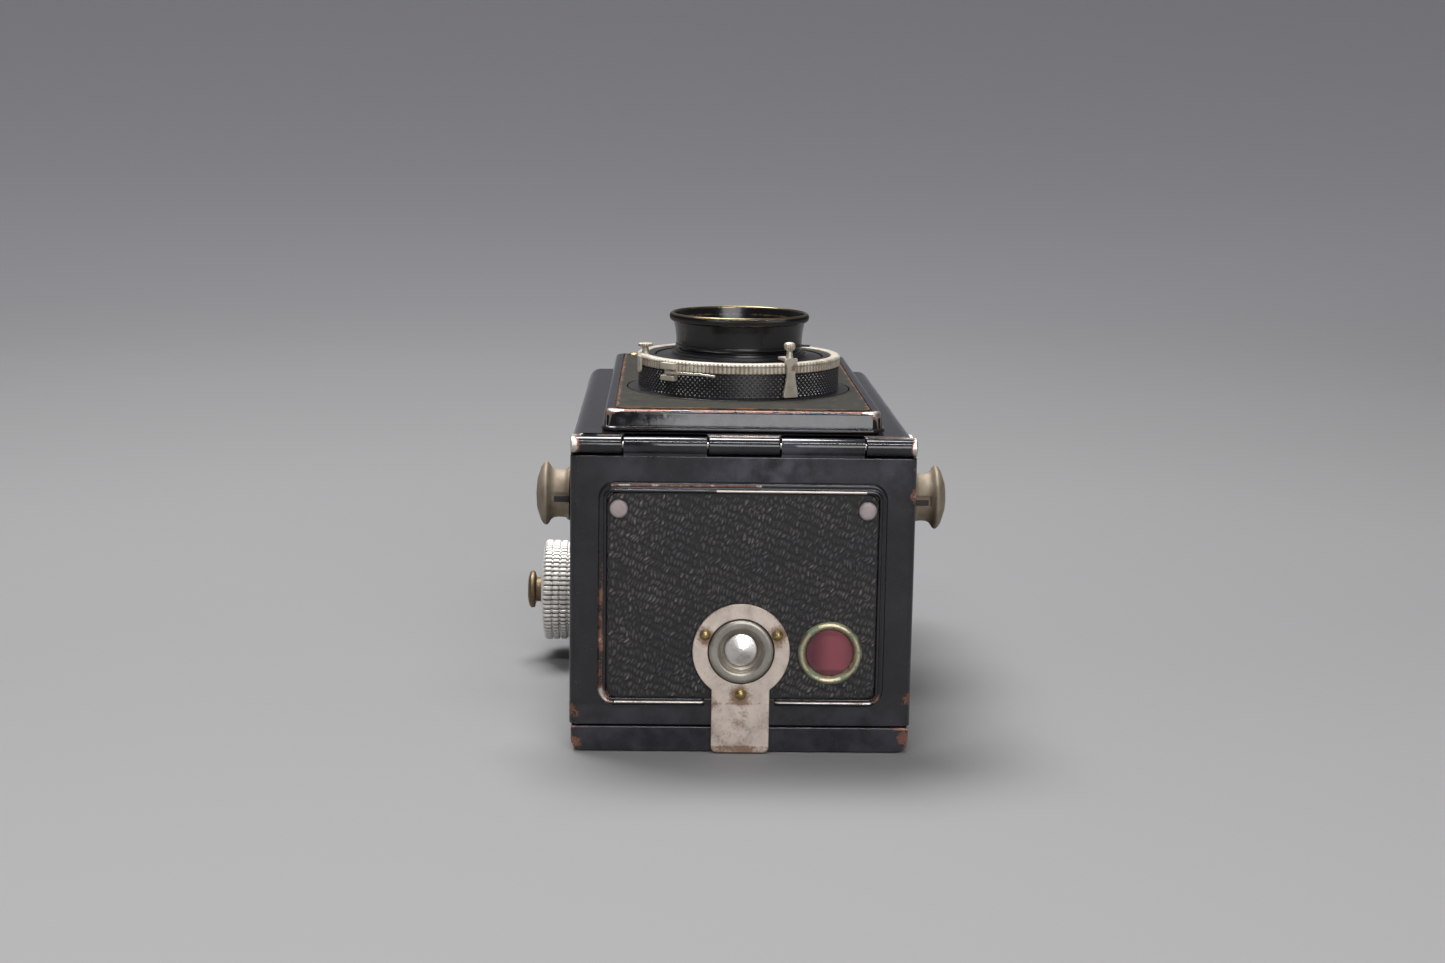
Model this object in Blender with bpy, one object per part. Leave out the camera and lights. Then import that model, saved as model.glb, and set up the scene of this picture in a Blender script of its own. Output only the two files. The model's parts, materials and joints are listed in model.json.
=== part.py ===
"""Twin lens reflex roll-film camera, lying on its back with the lenses pointing up.

Every size below is in millimetres. The shape functions turn them into metres.
x runs across the camera, y runs from the base (y = 0) to the folding hood, and z runs from the
outer face of the back (z = 0) out through the lenses. The part's origin is the middle of the
back's outer face, so CENTRE_Y is taken off every y before the mesh is made.
"""
import math

import bmesh
import bpy
from mathutils import Matrix, Vector

MM = 0.001
GAP = 0.3                      # air left between neighbouring pieces
FINE = 36                      # sides of the largest rounds
ROUND = 24                     # sides of knobs and lens mounts
SMALL = 16                     # sides of rivets and shaft holes
TINY = 10                      # sides of pins and their holes

# Body
BODY_WIDTH = 78.0
BODY_LENGTH = 126.0            # base to the top plate, without the hood
BODY_FRONT = 73.0              # height of the front wall's outer face
BODY_CORNER = 3.0
WALL = 1.6
CENTRE_Y = BODY_LENGTH / 2
HALF_WIDTH = BODY_WIDTH / 2
BACK_SEAM = 6.2                # height of the seam between back cover and body
DOOR_THICK = 3.0
DOOR_TOP = 68.55
LEATHER_THICK = 0.5
LEATHER_POCKET = 0.5           # depth of the shallow pockets the leather lies in

# Optical axes
TAKING_Y = 49.0
VIEWING_Y = 91.0
MIRROR_SUM = 129.0             # the mirror's face lies on y + z = MIRROR_SUM
GATE = 56.0                    # side of the square film gate

# Film path
SPOOL_RADIUS = 12.6
SPOOL_HALF = 32.3
SPOOL_BORE = 3.2
SUPPLY = (16.5, 57.0)          # (y, z) of the supply spool's axis
TAKEUP = (88.0, 18.2)          # (y, z) of the take-up spool's axis
ROLLER = (9.5, 11.5)

# Hinges
BASE_HINGE = (0.9, 70.85)
BASE_BARREL = 1.95
BASE_KNUCKLES = (-39.0, -27.2, -8.2, 8.2, 27.2, 39.0)
BACK_HINGE = (127.6, 6.2)
BACK_BARREL = 1.3
PIN_RADIUS = 0.8
PIN_BORE = 1.1

# Base fittings
LATCH_Z = 24.0
LATCH_RADIUS = 11.1
LATCH_HALF = 6.6
LATCH_HOLE = 7.7
LATCH_TOP = -1.3
SOCKET_RADIUS = 4.95
WINDOW = (20.2, 23.7)          # (x, z) of the red window
WINDOW_RADIUS = 7.5
WINDOW_CLEAR = 5.65
STUD = (28.0, 56.6)            # (x, z) of the foot studs
RIVETS = ((-8.2, 27.9), (8.2, 27.9), (0.0, 14.1))

# Lens board and shutter
BOARD_TOP = 78.0
BOARD_BASE = BODY_FRONT + 0.4
BOARD_HALF = 32.3
BOARD_Y = (6.0, 122.0)
BOARD_WALL = 1.2
BOARD_PLATE = 1.4
BOARD_DRAFT = 0.9
FLANGE_RADIUS = 27.0
DRUM_RADIUS = 24.5
DRUM_TOP = 84.9
RING_RADIUS = 24.9
RING_BORE = 22.5
RING_TOP = 86.6
NECK_RADIUS = 13.5
HOOD_RIM = 17.0
HOOD_TOP = 96.5
COCKING_AT = 26.8              # bearings of the small fittings about the taking lens, in degrees
RELEASE_AT = -41.5             # from the base side, growing towards +x
RELEASE_HALF = 4.4
RELEASE_TIP = -14.0
POINTER_AT = -70.0
RING_KNOB_AT = -84.0
RING_KNOB_RADIUS = 22.9
TAKING_BORE = 14.2
VIEWING_BORE = 13.1
VIEW_RADIUS = 13.6
VIEW_FLANGE = 14.3
VIEW_TOP = 88.4

# Focusing rack and pinion
FOCUS = (80.0, 47.0)           # (y, z) of the focusing shaft
PINION_TEETH = 9
MODULE = 1.0
PINION_PITCH = PINION_TEETH * MODULE / 2
ADDENDUM = 0.75
DEDENDUM = 1.15
TOOTH_HALF = 0.6               # half a tooth's width on the pitch line
TOOTH_TIP = 0.3                # half a tooth's width at its tip
GEAR_X = (24.6, 28.0)

# Controls on the sides
SPOOL_KNOB_REACH = 8.4
WIND_KNOB_RADIUS = 13.25
WIND_KNOB_REACH = 11.0
FOCUS_KNOB_RADIUS = 15.0
FOCUS_KNOB_REACH = 7.6
FOCUS_SHAFT_SUNK = 2.3         # how far the shaft ends short of the knob's outer face

# Folding hood
HOOD_BASE = BODY_LENGTH + GAP
FRAME_TOP = 129.0
LID_AXIS = (138.9, 67.6)       # (y, z) of the lid's hinge
LID_UNDER = 139.0
LID_TOP = 140.4
LID_HALF = 34.5
LID_REAR = 8.0
LEAF_REACH = 30.0
LEAF_AXIS = (31.8, 131.3)      # (x, y) of the side leaves' hinges
REAR_AXIS = (130.4, 11.4)      # (y, z) of the rear leaf's hinge
REAR_REACH = 25.0
LEAF_THICK = 0.7
MAGNIFIER_ARM = 17.0
MAGNIFIER_PIVOT = (137.4, LID_AXIS[1] - 30.0)
MAGNIFIER_RADIUS = 10.5

FINISHES = {
    # name: (colour, roughness, metallic)
    "black_enamel": ((0.020, 0.019, 0.024), 0.28, 0.0),
    "black_leather": ((0.030, 0.030, 0.032), 0.62, 0.0),
    "nickel": ((0.56, 0.52, 0.43), 0.34, 1.0),
    "aged_brass": ((0.50, 0.38, 0.20), 0.42, 1.0),
    "bright_alloy": ((0.72, 0.71, 0.68), 0.30, 1.0),
    "black_metal": ((0.035, 0.034, 0.036), 0.45, 0.6),
    "panel_paint": ((0.060, 0.065, 0.058), 0.60, 0.0),
    "red_glass": ((0.22, 0.03, 0.04), 0.12, 0.0),
    "lens_glass": ((0.55, 0.62, 0.68), 0.04, 0.0),
    "ground_glass": ((0.80, 0.82, 0.80), 0.65, 0.0),
    "mirror_silver": ((0.88, 0.88, 0.88), 0.03, 1.0),
    "spool_black": ((0.040, 0.040, 0.042), 0.50, 0.0),
    "spring_steel": ((0.45, 0.45, 0.46), 0.32, 1.0),
}


# ---------------------------------------------------------------- shapes
def to_world(axis, a, b, h):
    """A point with two coordinates across an axis and one along it, in metres."""
    if axis == "X":
        point = (h, a, b)
    elif axis == "Y":
        point = (a, h, b)
    else:
        point = (a, b, h)
    return Vector((point[0], point[1] - CENTRE_Y, point[2])) * MM


def axis_vector(axis):
    return Vector([1.0 if letter == axis else 0.0 for letter in "XYZ"])


def box(x, y, z):
    """A block between two limits on each axis."""
    def add(bm):
        low = to_world("Z", x[0], y[0], z[0])
        high = to_world("Z", x[1], y[1], z[1])
        place = Matrix.Translation((low + high) / 2) @ Matrix.Diagonal((high - low).to_4d())
        bmesh.ops.create_cube(bm, size=1.0, matrix=place)
    return add


def prism(axis, outline, span):
    """A straight extrusion of a flat outline along an axis."""
    def add(bm):
        verts = [bm.verts.new(to_world(axis, a, b, span[0])) for a, b in outline]
        face = bm.faces.new(verts)
        grown = bmesh.ops.extrude_face_region(bm, geom=[face])
        top = [item for item in grown["geom"] if isinstance(item, bmesh.types.BMVert)]
        bmesh.ops.translate(bm, verts=top, vec=axis_vector(axis) * (span[1] - span[0]) * MM)
    return add


def turned(axis, centre, profile, segments=ROUND):
    """A profile of (radius, height) points spun about an axis, closed on itself or on the axis."""
    closed = profile[0][0] > 0 and profile[-1][0] > 0
    def add(bm):
        verts = [bm.verts.new(to_world(axis, centre[0] + r, centre[1], h)) for r, h in profile]
        edges = [bm.edges.new(pair) for pair in zip(verts, verts[1:])]
        if closed:
            edges.append(bm.edges.new((verts[-1], verts[0])))
        bmesh.ops.spin(bm, geom=verts + edges, cent=to_world(axis, *centre, 0.0),
                       axis=axis_vector(axis), angle=math.tau, steps=segments, use_merge=True)
    return add


def rod(axis, centre, radius, span, segments=SMALL):
    return turned(axis, centre, [(0, span[0]), (radius, span[0]), (radius, span[1]), (0, span[1])],
                  segments)


def tube(axis, centre, outer, inner, span, segments=ROUND):
    profile = [(inner, span[0]), (outer, span[0]), (outer, span[1]), (inner, span[1])]
    return turned(axis, centre, profile, segments)


def arc(centre, radius, start, end, steps):
    """Points on an arc, angles in degrees."""
    points = []
    for i in range(steps + 1):
        angle = math.radians(start + (end - start) * i / steps)
        points.append((centre[0] + radius * math.cos(angle), centre[1] + radius * math.sin(angle)))
    return points


def rounded(a, b, radius, steps=3):
    """Outline of a rectangle between limits a and b with rounded corners."""
    outline = []
    corners = ((a[1], b[1], 0), (a[0], b[1], 90), (a[0], b[0], 180), (a[1], b[0], 270))
    for corner_a, corner_b, start in corners:
        inside = (corner_a - math.copysign(radius, corner_a - sum(a) / 2),
                  corner_b - math.copysign(radius, corner_b - sum(b) / 2))
        outline += arc(inside, radius, start, start + 90, steps)
    return outline


def frustum(low, high):
    """A four-sided taper between two rectangles, each given as (x, y, z) limits and height."""
    def add(bm):
        rings = []
        for x, y, z in (low, high):
            corners = ((x[0], y[0]), (x[1], y[0]), (x[1], y[1]), (x[0], y[1]))
            rings.append([bm.verts.new(to_world("Z", a, b, z)) for a, b in corners])
        bottom = bm.faces.new(rings[0])
        top = bm.faces.new(rings[1])
        edges = list(bottom.edges) + list(top.edges)
        bmesh.ops.bridge_loops(bm, edges=edges)
    return add


def curved_bar(radii, bearings, span):
    """A bar of rectangular section that runs round the taking lens between two bearings."""
    start, end = (bearing - 90 for bearing in bearings)
    steps = max(2, round((end - start) / 5))
    centre = (0, TAKING_Y)
    outline = arc(centre, radii[1], start, end, steps) + arc(centre, radii[0], end, start, steps)
    return prism("Z", outline, span)


def turn_about_lens(shape, degrees):
    """The same shape turned about the taking lens's axis."""
    def add(bm):
        before = set(bm.verts)
        shape(bm)
        fresh = [v for v in bm.verts if v not in before]
        bmesh.ops.rotate(bm, verts=fresh, cent=to_world("Z", 0.0, TAKING_Y, 0.0),
                         matrix=Matrix.Rotation(math.radians(degrees), 3, "Z"))
    return add


# ---------------------------------------------------------------- objects
def finish_material(name):
    material = bpy.data.materials.get(name)
    if material:
        return material
    colour, roughness, metallic = FINISHES[name]
    material = bpy.data.materials.new(name)
    material.use_nodes = True
    shader = material.node_tree.nodes["Principled BSDF"]
    shader.inputs["Base Color"].default_value = (*colour, 1.0)
    shader.inputs["Roughness"].default_value = roughness
    shader.inputs["Metallic"].default_value = metallic
    material.diffuse_color = (*colour, 1.0)
    return material


def mesh_of(name, shapes, origin):
    bm = bmesh.new()
    for shape in shapes:
        shape(bm)
    bmesh.ops.remove_doubles(bm, verts=bm.verts, dist=1e-7)
    bmesh.ops.recalc_face_normals(bm, faces=bm.faces)
    bmesh.ops.translate(bm, verts=bm.verts, vec=-origin)
    mesh = bpy.data.meshes.new(name)
    bm.to_mesh(mesh)
    bm.free()
    return mesh


def pivot(name, x, y, z):
    """An empty on a moving body's joint axis."""
    empty = bpy.data.objects.new("pivot_" + name, None)
    empty.empty_display_size = 4 * MM
    empty.location = to_world("Z", x, y, z)
    bpy.context.collection.objects.link(empty)
    return empty


def piece(name, finish, origin, shapes, parent=None):
    """One solid of the camera, with its own origin, carried by its joint's empty if it moves."""
    place = to_world("Z", *origin)
    obj = bpy.data.objects.new(name, mesh_of(name, shapes, place))
    obj.location = place
    bpy.context.collection.objects.link(obj)
    if parent:
        obj.parent = parent
        obj.location = place - parent.location
    obj.data.materials.append(finish_material(finish))
    obj.data.shade_smooth()
    obj.data.set_sharp_from_angle(angle=math.radians(35))
    return obj


def combine(obj, operation, shapes):
    """Add shapes to a piece, or cut them from it, with a hidden guide and a Boolean."""
    place = obj.location + (obj.parent.location if obj.parent else Vector())
    count = len(obj.modifiers) + 1
    name = f"{obj.name}_guide_{count}"
    guide = bpy.data.objects.new(name, mesh_of(name, shapes, place))
    guide.parent = obj
    guide.hide_render = True
    guide.display_type = "WIRE"
    bpy.context.collection.objects.link(guide)
    modifier = obj.modifiers.new(name, "BOOLEAN")
    modifier.operation = operation
    modifier.object = guide
    modifier.solver = "EXACT"


def cut(obj, *shapes):
    combine(obj, "DIFFERENCE", shapes)


def join(obj, *shapes):
    combine(obj, "UNION", shapes)


# ---------------------------------------------------------------- body
def make_body():
    inner = HALF_WIDTH - WALL
    outline = [(-HALF_WIDTH, BACK_SEAM + 0.1), (HALF_WIDTH, BACK_SEAM + 0.1)]
    outline += arc((HALF_WIDTH - BODY_CORNER, BODY_FRONT - BODY_CORNER), BODY_CORNER, 0, 90, 4)
    outline += arc((-HALF_WIDTH + BODY_CORNER, BODY_FRONT - BODY_CORNER), BODY_CORNER, 90, 180, 4)
    shell = piece("body_shell", "black_enamel", (0, CENTRE_Y, 40),
                  [prism("Y", outline, (DOOR_THICK + GAP, BODY_LENGTH))])
    cut(shell, box((-inner, inner), (0, BODY_LENGTH - 1.8), (0, BODY_FRONT - WALL)))
    # barrels of the base hinge, each with a web to the front wall
    y, z = BASE_HINGE
    for left, right in zip(BASE_KNUCKLES[0::2], BASE_KNUCKLES[1::2]):
        span = (left + 0.15, right - 0.15)
        join(shell, rod("X", BASE_HINGE, BASE_BARREL, span))
        join(shell, box(span, (y, DOOR_THICK + 1.0), (z + 0.45, BODY_FRONT - 0.25)))
    # barrels of the back hinge, with webs to the top wall
    y, z = BACK_HINGE
    for left, right in ((-37.0, -20.2), (20.2, 37.0)):
        join(shell, rod("X", BACK_HINGE, BACK_BARREL, (left, right), TINY))
        join(shell, box((left, right), (BODY_LENGTH - 1.0, y), (z + 0.2, z + 1.2)))
    through = (-HALF_WIDTH - 1, HALF_WIDTH + 1)
    cut(shell, rod("X", BASE_HINGE, PIN_BORE, through, TINY),
        rod("X", BACK_HINGE, 0.9, through, TINY))
    # light openings, and the slot for the focusing rack
    front = (BODY_FRONT - 4, BODY_FRONT + 4)
    cut(shell, rod("Z", (0, TAKING_Y), 15.9, front, ROUND), rod("Z", (0, VIEWING_Y), 14.8, front, ROUND),
        box((GEAR_X[0] - 0.6, GEAR_X[1] + 0.7), (83.0, 88.9), front),
        box((-28, 28), (BODY_LENGTH - 4, BODY_LENGTH + 4), (9.5, 65.5)))
    # shaft holes through the sides, and the shallow leather pockets
    left = (-HALF_WIDTH - 2, -HALF_WIDTH + 4)
    right = (HALF_WIDTH - 4, HALF_WIDTH + 2)
    cut(shell, rod("X", SUPPLY, 2.8, left), rod("X", SUPPLY, 2.8, right),
        rod("X", TAKEUP, 4.2, left), rod("X", TAKEUP, 2.9, right), rod("X", FOCUS, 2.7, right))
    pocket = rounded((8.0, 110.0), (11.0, 67.0), 3.0)
    cut(shell, prism("X", pocket, (-HALF_WIDTH - 1, -HALF_WIDTH + LEATHER_POCKET)),
        prism("X", pocket, (HALF_WIDTH - LEATHER_POCKET, HALF_WIDTH + 1)))
    piece("base_hinge_pin", "nickel", (0, *BASE_HINGE),
          [rod("X", BASE_HINGE, PIN_RADIUS, (-38.8, 38.8), TINY)])
    piece("back_hinge_pin", "nickel", (0, *BACK_HINGE),
          [rod("X", BACK_HINGE, 0.6, (-36.8, 36.8), TINY)])


def make_side_leathers():
    inset = rounded((8.3, 109.7), (11.3, 66.7), 2.7)
    for name, side in (("side_leather_left", -1), ("side_leather_right", 1)):
        low = side * (HALF_WIDTH - 0.2)
        high = side * (HALF_WIDTH - 0.2 + LEATHER_THICK)
        span = (min(low, high), max(low, high))
        leather = piece(name, "black_leather", (low, CENTRE_Y, 39), [prism("X", inset, span)])
        wide = (span[0] - 1, span[1] + 1)
        holes = [rod("X", SUPPLY, 4.0, wide), rod("X", TAKEUP, 5.0, wide)]
        if side > 0:
            holes.append(rod("X", FOCUS, 4.0, wide))
        cut(leather, *holes)


def make_strap_lugs():
    where = (118.0, 40.0)
    profile = [(0, 0), (3.2, 0), (3.2, 0.8), (1.5, 1.2), (1.5, 2.4), (3.0, 2.9), (2.6, 3.8), (0, 4.0)]
    start = HALF_WIDTH + GAP
    for name, side in (("strap_lug_left", -1), ("strap_lug_right", 1)):
        lug = [(r, side * (start + h)) for r, h in profile]
        piece(name, "nickel", (side * start, *where), [turned("X", where, lug, SMALL)])


# ---------------------------------------------------------------- base door
def make_base_door():
    door_pivot = pivot("base_door", 0, *BASE_HINGE)
    y, z = BASE_HINGE
    door = piece("base_door", "black_enamel", (0, 0, z),
                 [box((-HALF_WIDTH, HALF_WIDTH), (0, DOOR_THICK), (BACK_SEAM + 0.2, DOOR_TOP))],
                 door_pivot)
    frame = (-32.6, 32.6), (11.0, 62.9)
    join(door, prism("Y", rounded(*frame, 4.0), (-0.9, 0.6)))
    cut(door, prism("Y", rounded((-30.8, 30.8), (12.7, 60.5), 3.0), (-3, LEATHER_POCKET)))
    cut(door, box((-8.2, 7.8), (-3, 0), (10, 12.9)), box((-36.5, 36.5), (1.8, 5), (9, 66)))
    for left, right in zip(BASE_KNUCKLES[1::2], BASE_KNUCKLES[2::2]):
        span = (left + 0.15, right - 0.15)
        join(door, rod("X", BASE_HINGE, BASE_BARREL, span))
        join(door, box(span, (0.1, 2.3), (DOOR_TOP - 1, z)))
    cut(door, rod("X", BASE_HINGE, PIN_BORE, (-30, 30), TINY))
    through = (-4, 6)
    cut(door, rod("Y", (0, LATCH_Z), 5.8, through, ROUND), rod("Y", WINDOW, 6.3, through, ROUND),
        rod("Y", STUD, 1.2, through, TINY), rod("Y", (-STUD[0], STUD[1]), 1.2, through, TINY))

    leather = piece("base_leather", "black_leather", (0, 0, 36),
                    [prism("Y", rounded((-30.5, 30.5), (13.0, 60.2), 2.7), (-0.3, 0.2))], door_pivot)
    cut(leather, rod("Y", (0, LATCH_Z), 5.8, through, ROUND), rod("Y", WINDOW, 6.3, through, ROUND),
        rod("Y", STUD, 1.2, through, TINY), rod("Y", (-STUD[0], STUD[1]), 1.2, through, TINY))

    start = math.degrees(math.asin(LATCH_HALF / LATCH_RADIUS))
    keyhole = arc((0, LATCH_Z), LATCH_RADIUS, -90 + start, 270 - start, 24)
    keyhole += [(-LATCH_HALF, 0.3), (LATCH_HALF, 0.3)]
    plate = piece("latch_plate", "nickel", (0, 0, LATCH_Z),
                  [prism("Y", keyhole, (LATCH_TOP, LATCH_TOP + 0.7))], door_pivot)
    holes = [rod("Y", (0, LATCH_Z), LATCH_HOLE, through, ROUND)]
    holes += [rod("Y", centre, 0.9, through, TINY) for centre in RIVETS]
    cut(plate, *holes)

    # domed flange outside, blind socket with a coned bottom inside
    bush = [(0, 3.0), (4.0, 2.4), (SOCKET_RADIUS, 0.8), (SOCKET_RADIUS, -1.9), (6.4, -2.0), (7.4, -1.5),
            (7.4, -0.6), (5.5, -0.6), (5.5, 4.2), (0, 4.2)]
    piece("tripod_bush", "nickel", (0, 0, LATCH_Z), [turned("Y", (0, LATCH_Z), bush)], door_pivot)
    head = LATCH_TOP - GAP
    rivet = [(0, head - 0.7), (0.8, head - 0.55), (1.3, head - 0.15), (1.3, head), (0.6, head),
             (0.6, -0.5), (0, -0.5)]
    for number, centre in enumerate(RIVETS, 1):
        piece(f"latch_rivet_{number}", "aged_brass", (centre[0], 0, centre[1]),
              [turned("Y", centre, rivet, TINY)], door_pivot)
    stud = [(0, -1.9), (1.2, -1.7), (2.1, -1.0), (2.1, -0.6), (0.9, -0.6), (0.9, 2.4), (0, 2.4)]
    for name, side in (("foot_stud_left", -1), ("foot_stud_right", 1)):
        centre = (side * STUD[0], STUD[1])
        piece(name, "nickel", (centre[0], 0, centre[1]), [turned("Y", centre, stud, SMALL)], door_pivot)

    ring = [(WINDOW_CLEAR, -1.1), (6.3, -1.5), (7.1, -1.3), (WINDOW_RADIUS, -0.6), (6.0, -0.6),
            (6.0, 2.4), (4.9, 2.4), (4.9, 1.4), (WINDOW_CLEAR, 1.4)]
    piece("window_ring", "aged_brass", (WINDOW[0], 0, WINDOW[1]),
          [turned("Y", WINDOW, ring)], door_pivot)
    piece("window_glass", "red_glass", (WINDOW[0], 0, WINDOW[1]),
          [rod("Y", WINDOW, WINDOW_CLEAR - GAP, (-0.1, 1.1), ROUND)], door_pivot)


# ---------------------------------------------------------------- back cover
def make_back_cover():
    cover_pivot = pivot("back_cover", 0, *BACK_HINGE)
    half = HALF_WIDTH - 0.4
    end = BODY_LENGTH - GAP
    outline = arc((-half + 2.6, 2.8), 2.6, 180, 270, 4) + arc((half - 2.6, 2.8), 2.6, 270, 360, 4)
    outline += [(half, 6.0), (-half, 6.0)]
    cover = piece("back_cover", "black_enamel", (0, *BACK_HINGE), [prism("Y", outline, (0, end))],
                  cover_pivot)
    cut(cover, box((-half + 1.4, half - 1.4), (1.4, end - 1.4), (2.3, 8)),
        prism("Z", rounded((-34.5, 34.5), (5.0, 120.5), 3.0), (-1, 0.9)))
    join(cover, rod("X", BACK_HINGE, BACK_BARREL, (-19.9, 19.9), TINY))
    join(cover, box((-19.9, 19.9), (end - 1.0, BACK_HINGE[0]), (BACK_HINGE[1] - 1.2, 5.95)))
    cut(cover, rod("X", BACK_HINGE, 0.9, (-24, 24), TINY))
    piece("back_leather", "black_leather", (0, CENTRE_Y, 0),
          [prism("Z", rounded((-34.2, 34.2), (5.3, 120.2), 2.7), (0, 0.6))], cover_pivot)

    # bowed leaf spring riveted to the cover, under the pressure plate
    reach, rise = 13.0, 1.7
    radius = (reach ** 2 + rise ** 2) / (2 * rise)
    swing = math.degrees(math.asin(reach / radius))
    low = arc((TAKING_Y, 2.6 + radius), radius, 270 - swing, 270 + swing, 10)
    high = arc((TAKING_Y, 3.1 + radius), radius, 270 + swing, 270 - swing, 10)
    piece("pressure_spring", "spring_steel", (0, TAKING_Y, 2.6), [prism("X", low + high, (-7, 7))],
          cover_pivot)
    plate_pivot = pivot("pressure_plate", 0, TAKING_Y, 5.8)
    piece("pressure_plate", "black_metal", (0, TAKING_Y, 5.8),
          [prism("Z", rounded((-31.5, 31.5), (17.0, 79.0), 3.0), (5.8, 6.7))], plate_pivot)


# ---------------------------------------------------------------- film path
def make_film_path():
    gate_z = 7.3
    low, high = 29.4, 15.4
    top = 66.5
    y = TAKING_Y
    chamber = piece("light_chamber", "black_metal", (0, y, gate_z), [frustum(
        ((-low, low), (y - low, y + low), gate_z), ((-high, high), (y - high, y + high), top))])
    join(chamber, box((-37.1, 37.1), (14.5, 78.6), (gate_z, gate_z + 1.5)))
    for side in (-1, 1):
        ear = sorted((side * 31.3, side * 32.6))
        join(chamber, box(ear, (6.4, 16.0), (gate_z, 14.6)))
    inner_low, inner_high = GATE / 2, 14.0
    cut(chamber, frustum(((-inner_low, inner_low), (y - inner_low, y + inner_low), gate_z - 0.5),
                         ((-inner_high, inner_high), (y - inner_high, y + inner_high), top + 0.5)))
    cut(chamber, rod("X", ROLLER, 1.5, (-35, -30), TINY), rod("X", ROLLER, 1.5, (30, 35), TINY))

    roller_pivot = pivot("film_roller", 0, *ROLLER)
    roller = [(0, -32.2), (1.2, -32.2), (1.2, -31.0), (3.2, -31.0), (3.2, -29.0), (2.8, -28.6),
              (2.8, 28.6), (3.2, 29.0), (3.2, 31.0), (1.2, 31.0), (1.2, 32.2), (0, 32.2)]
    piece("film_roller", "bright_alloy", (0, *ROLLER), [turned("X", ROLLER, roller, SMALL)],
          roller_pivot)

    spool = [(SPOOL_BORE, -SPOOL_HALF), (SPOOL_RADIUS, -SPOOL_HALF), (SPOOL_RADIUS, -31.4),
             (5.6, -31.4), (5.6, 31.4), (SPOOL_RADIUS, 31.4), (SPOOL_RADIUS, SPOOL_HALF),
             (SPOOL_BORE, SPOOL_HALF)]
    supply_pivot = pivot("supply_spool", 0, *SUPPLY)
    piece("supply_spool", "spool_black", (0, *SUPPLY), [turned("X", SUPPLY, spool)],
          supply_pivot)
    winder_pivot = pivot("winder", 0, *TAKEUP)
    piece("takeup_spool", "spool_black", (0, *TAKEUP), [turned("X", TAKEUP, spool)],
          winder_pivot)
    start = HALF_WIDTH + GAP + 0.3
    cap = [(0, start + 1.8), (4.2, start + 1.6), (4.7, start + 0.8), (4.7, start), (2.6, start),
           (2.6, 28.8), (0, 28.8)]
    piece("takeup_pivot", "nickel", (start, *TAKEUP), [turned("X", TAKEUP, cap, SMALL)])
    return winder_pivot


def make_spool_knobs():
    start = HALF_WIDTH + GAP + 0.3
    end = HALF_WIDTH + SPOOL_KNOB_REACH
    profile = [(0, end - 0.3), (4.6, end), (7.0, end - 0.5), (7.5, end - 1.3), (7.3, end - 2.5),
               (5.55, end - 3.0), (5.55, start + 1.0), (6.3, start), (2.5, start), (2.5, 28.8),
               (0, 28.8)]
    for name, side in (("spool_knob_left", -1), ("spool_knob_right", 1)):
        knob_pivot = pivot(name, side * start, *SUPPLY)
        shape = turned("X", SUPPLY, [(r, side * h) for r, h in profile])
        knob = piece(name, "nickel", (side * start, *SUPPLY), [shape], knob_pivot)
        slot = sorted((side * (start + 1.4), side * (start + 4.4)))
        y, z = SUPPLY
        cut(knob, box(slot, (y - 9, y - 4.9), (z - 1.15, z + 1.15)))


def make_winder(winder_pivot):
    start = HALF_WIDTH + GAP + 0.4
    end = HALF_WIDTH + WIND_KNOB_REACH
    edge = WIND_KNOB_RADIUS
    # shaft end, shaft, then three bands divided by grooves, a domed face and a blind bore
    profile = [(0, 28.6), (2.7, 28.6), (2.7, 33.2), (3.9, 33.2), (3.9, start), (edge - 1.2, start),
               (edge, start + 0.8)]
    band = (end - 1.2 - (start + 0.8)) / 3
    for i in (1, 2):
        groove = start + 0.8 + band * i
        profile += [(edge, groove - 0.4), (edge - 0.8, groove), (edge, groove + 0.4)]
    profile += [(edge, end - 1.2), (edge - 0.9, end - 0.4), (7.0, end), (5.6, end - 0.9),
                (3.6, end - 0.9), (3.6, end - 7.0), (0, end - 7.0)]
    piece("winding_knob", "bright_alloy", (-start, *TAKEUP),
          [turned("X", TAKEUP, [(r, -h) for r, h in profile], 28)], winder_pivot)
    button_pivot = pivot("wind_button", -end, *TAKEUP)
    top = HALF_WIDTH + 14.8
    button = [(0, end - 5.0), (3.25, end - 5.0), (3.25, top - 2.2), (4.9, top - 1.9),
              (4.9, top - 0.5), (4.2, top - 0.1), (0, top)]
    piece("wind_button", "aged_brass", (-end, *TAKEUP),
          [turned("X", TAKEUP, [(r, -h) for r, h in button], SMALL)], button_pivot)


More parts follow.
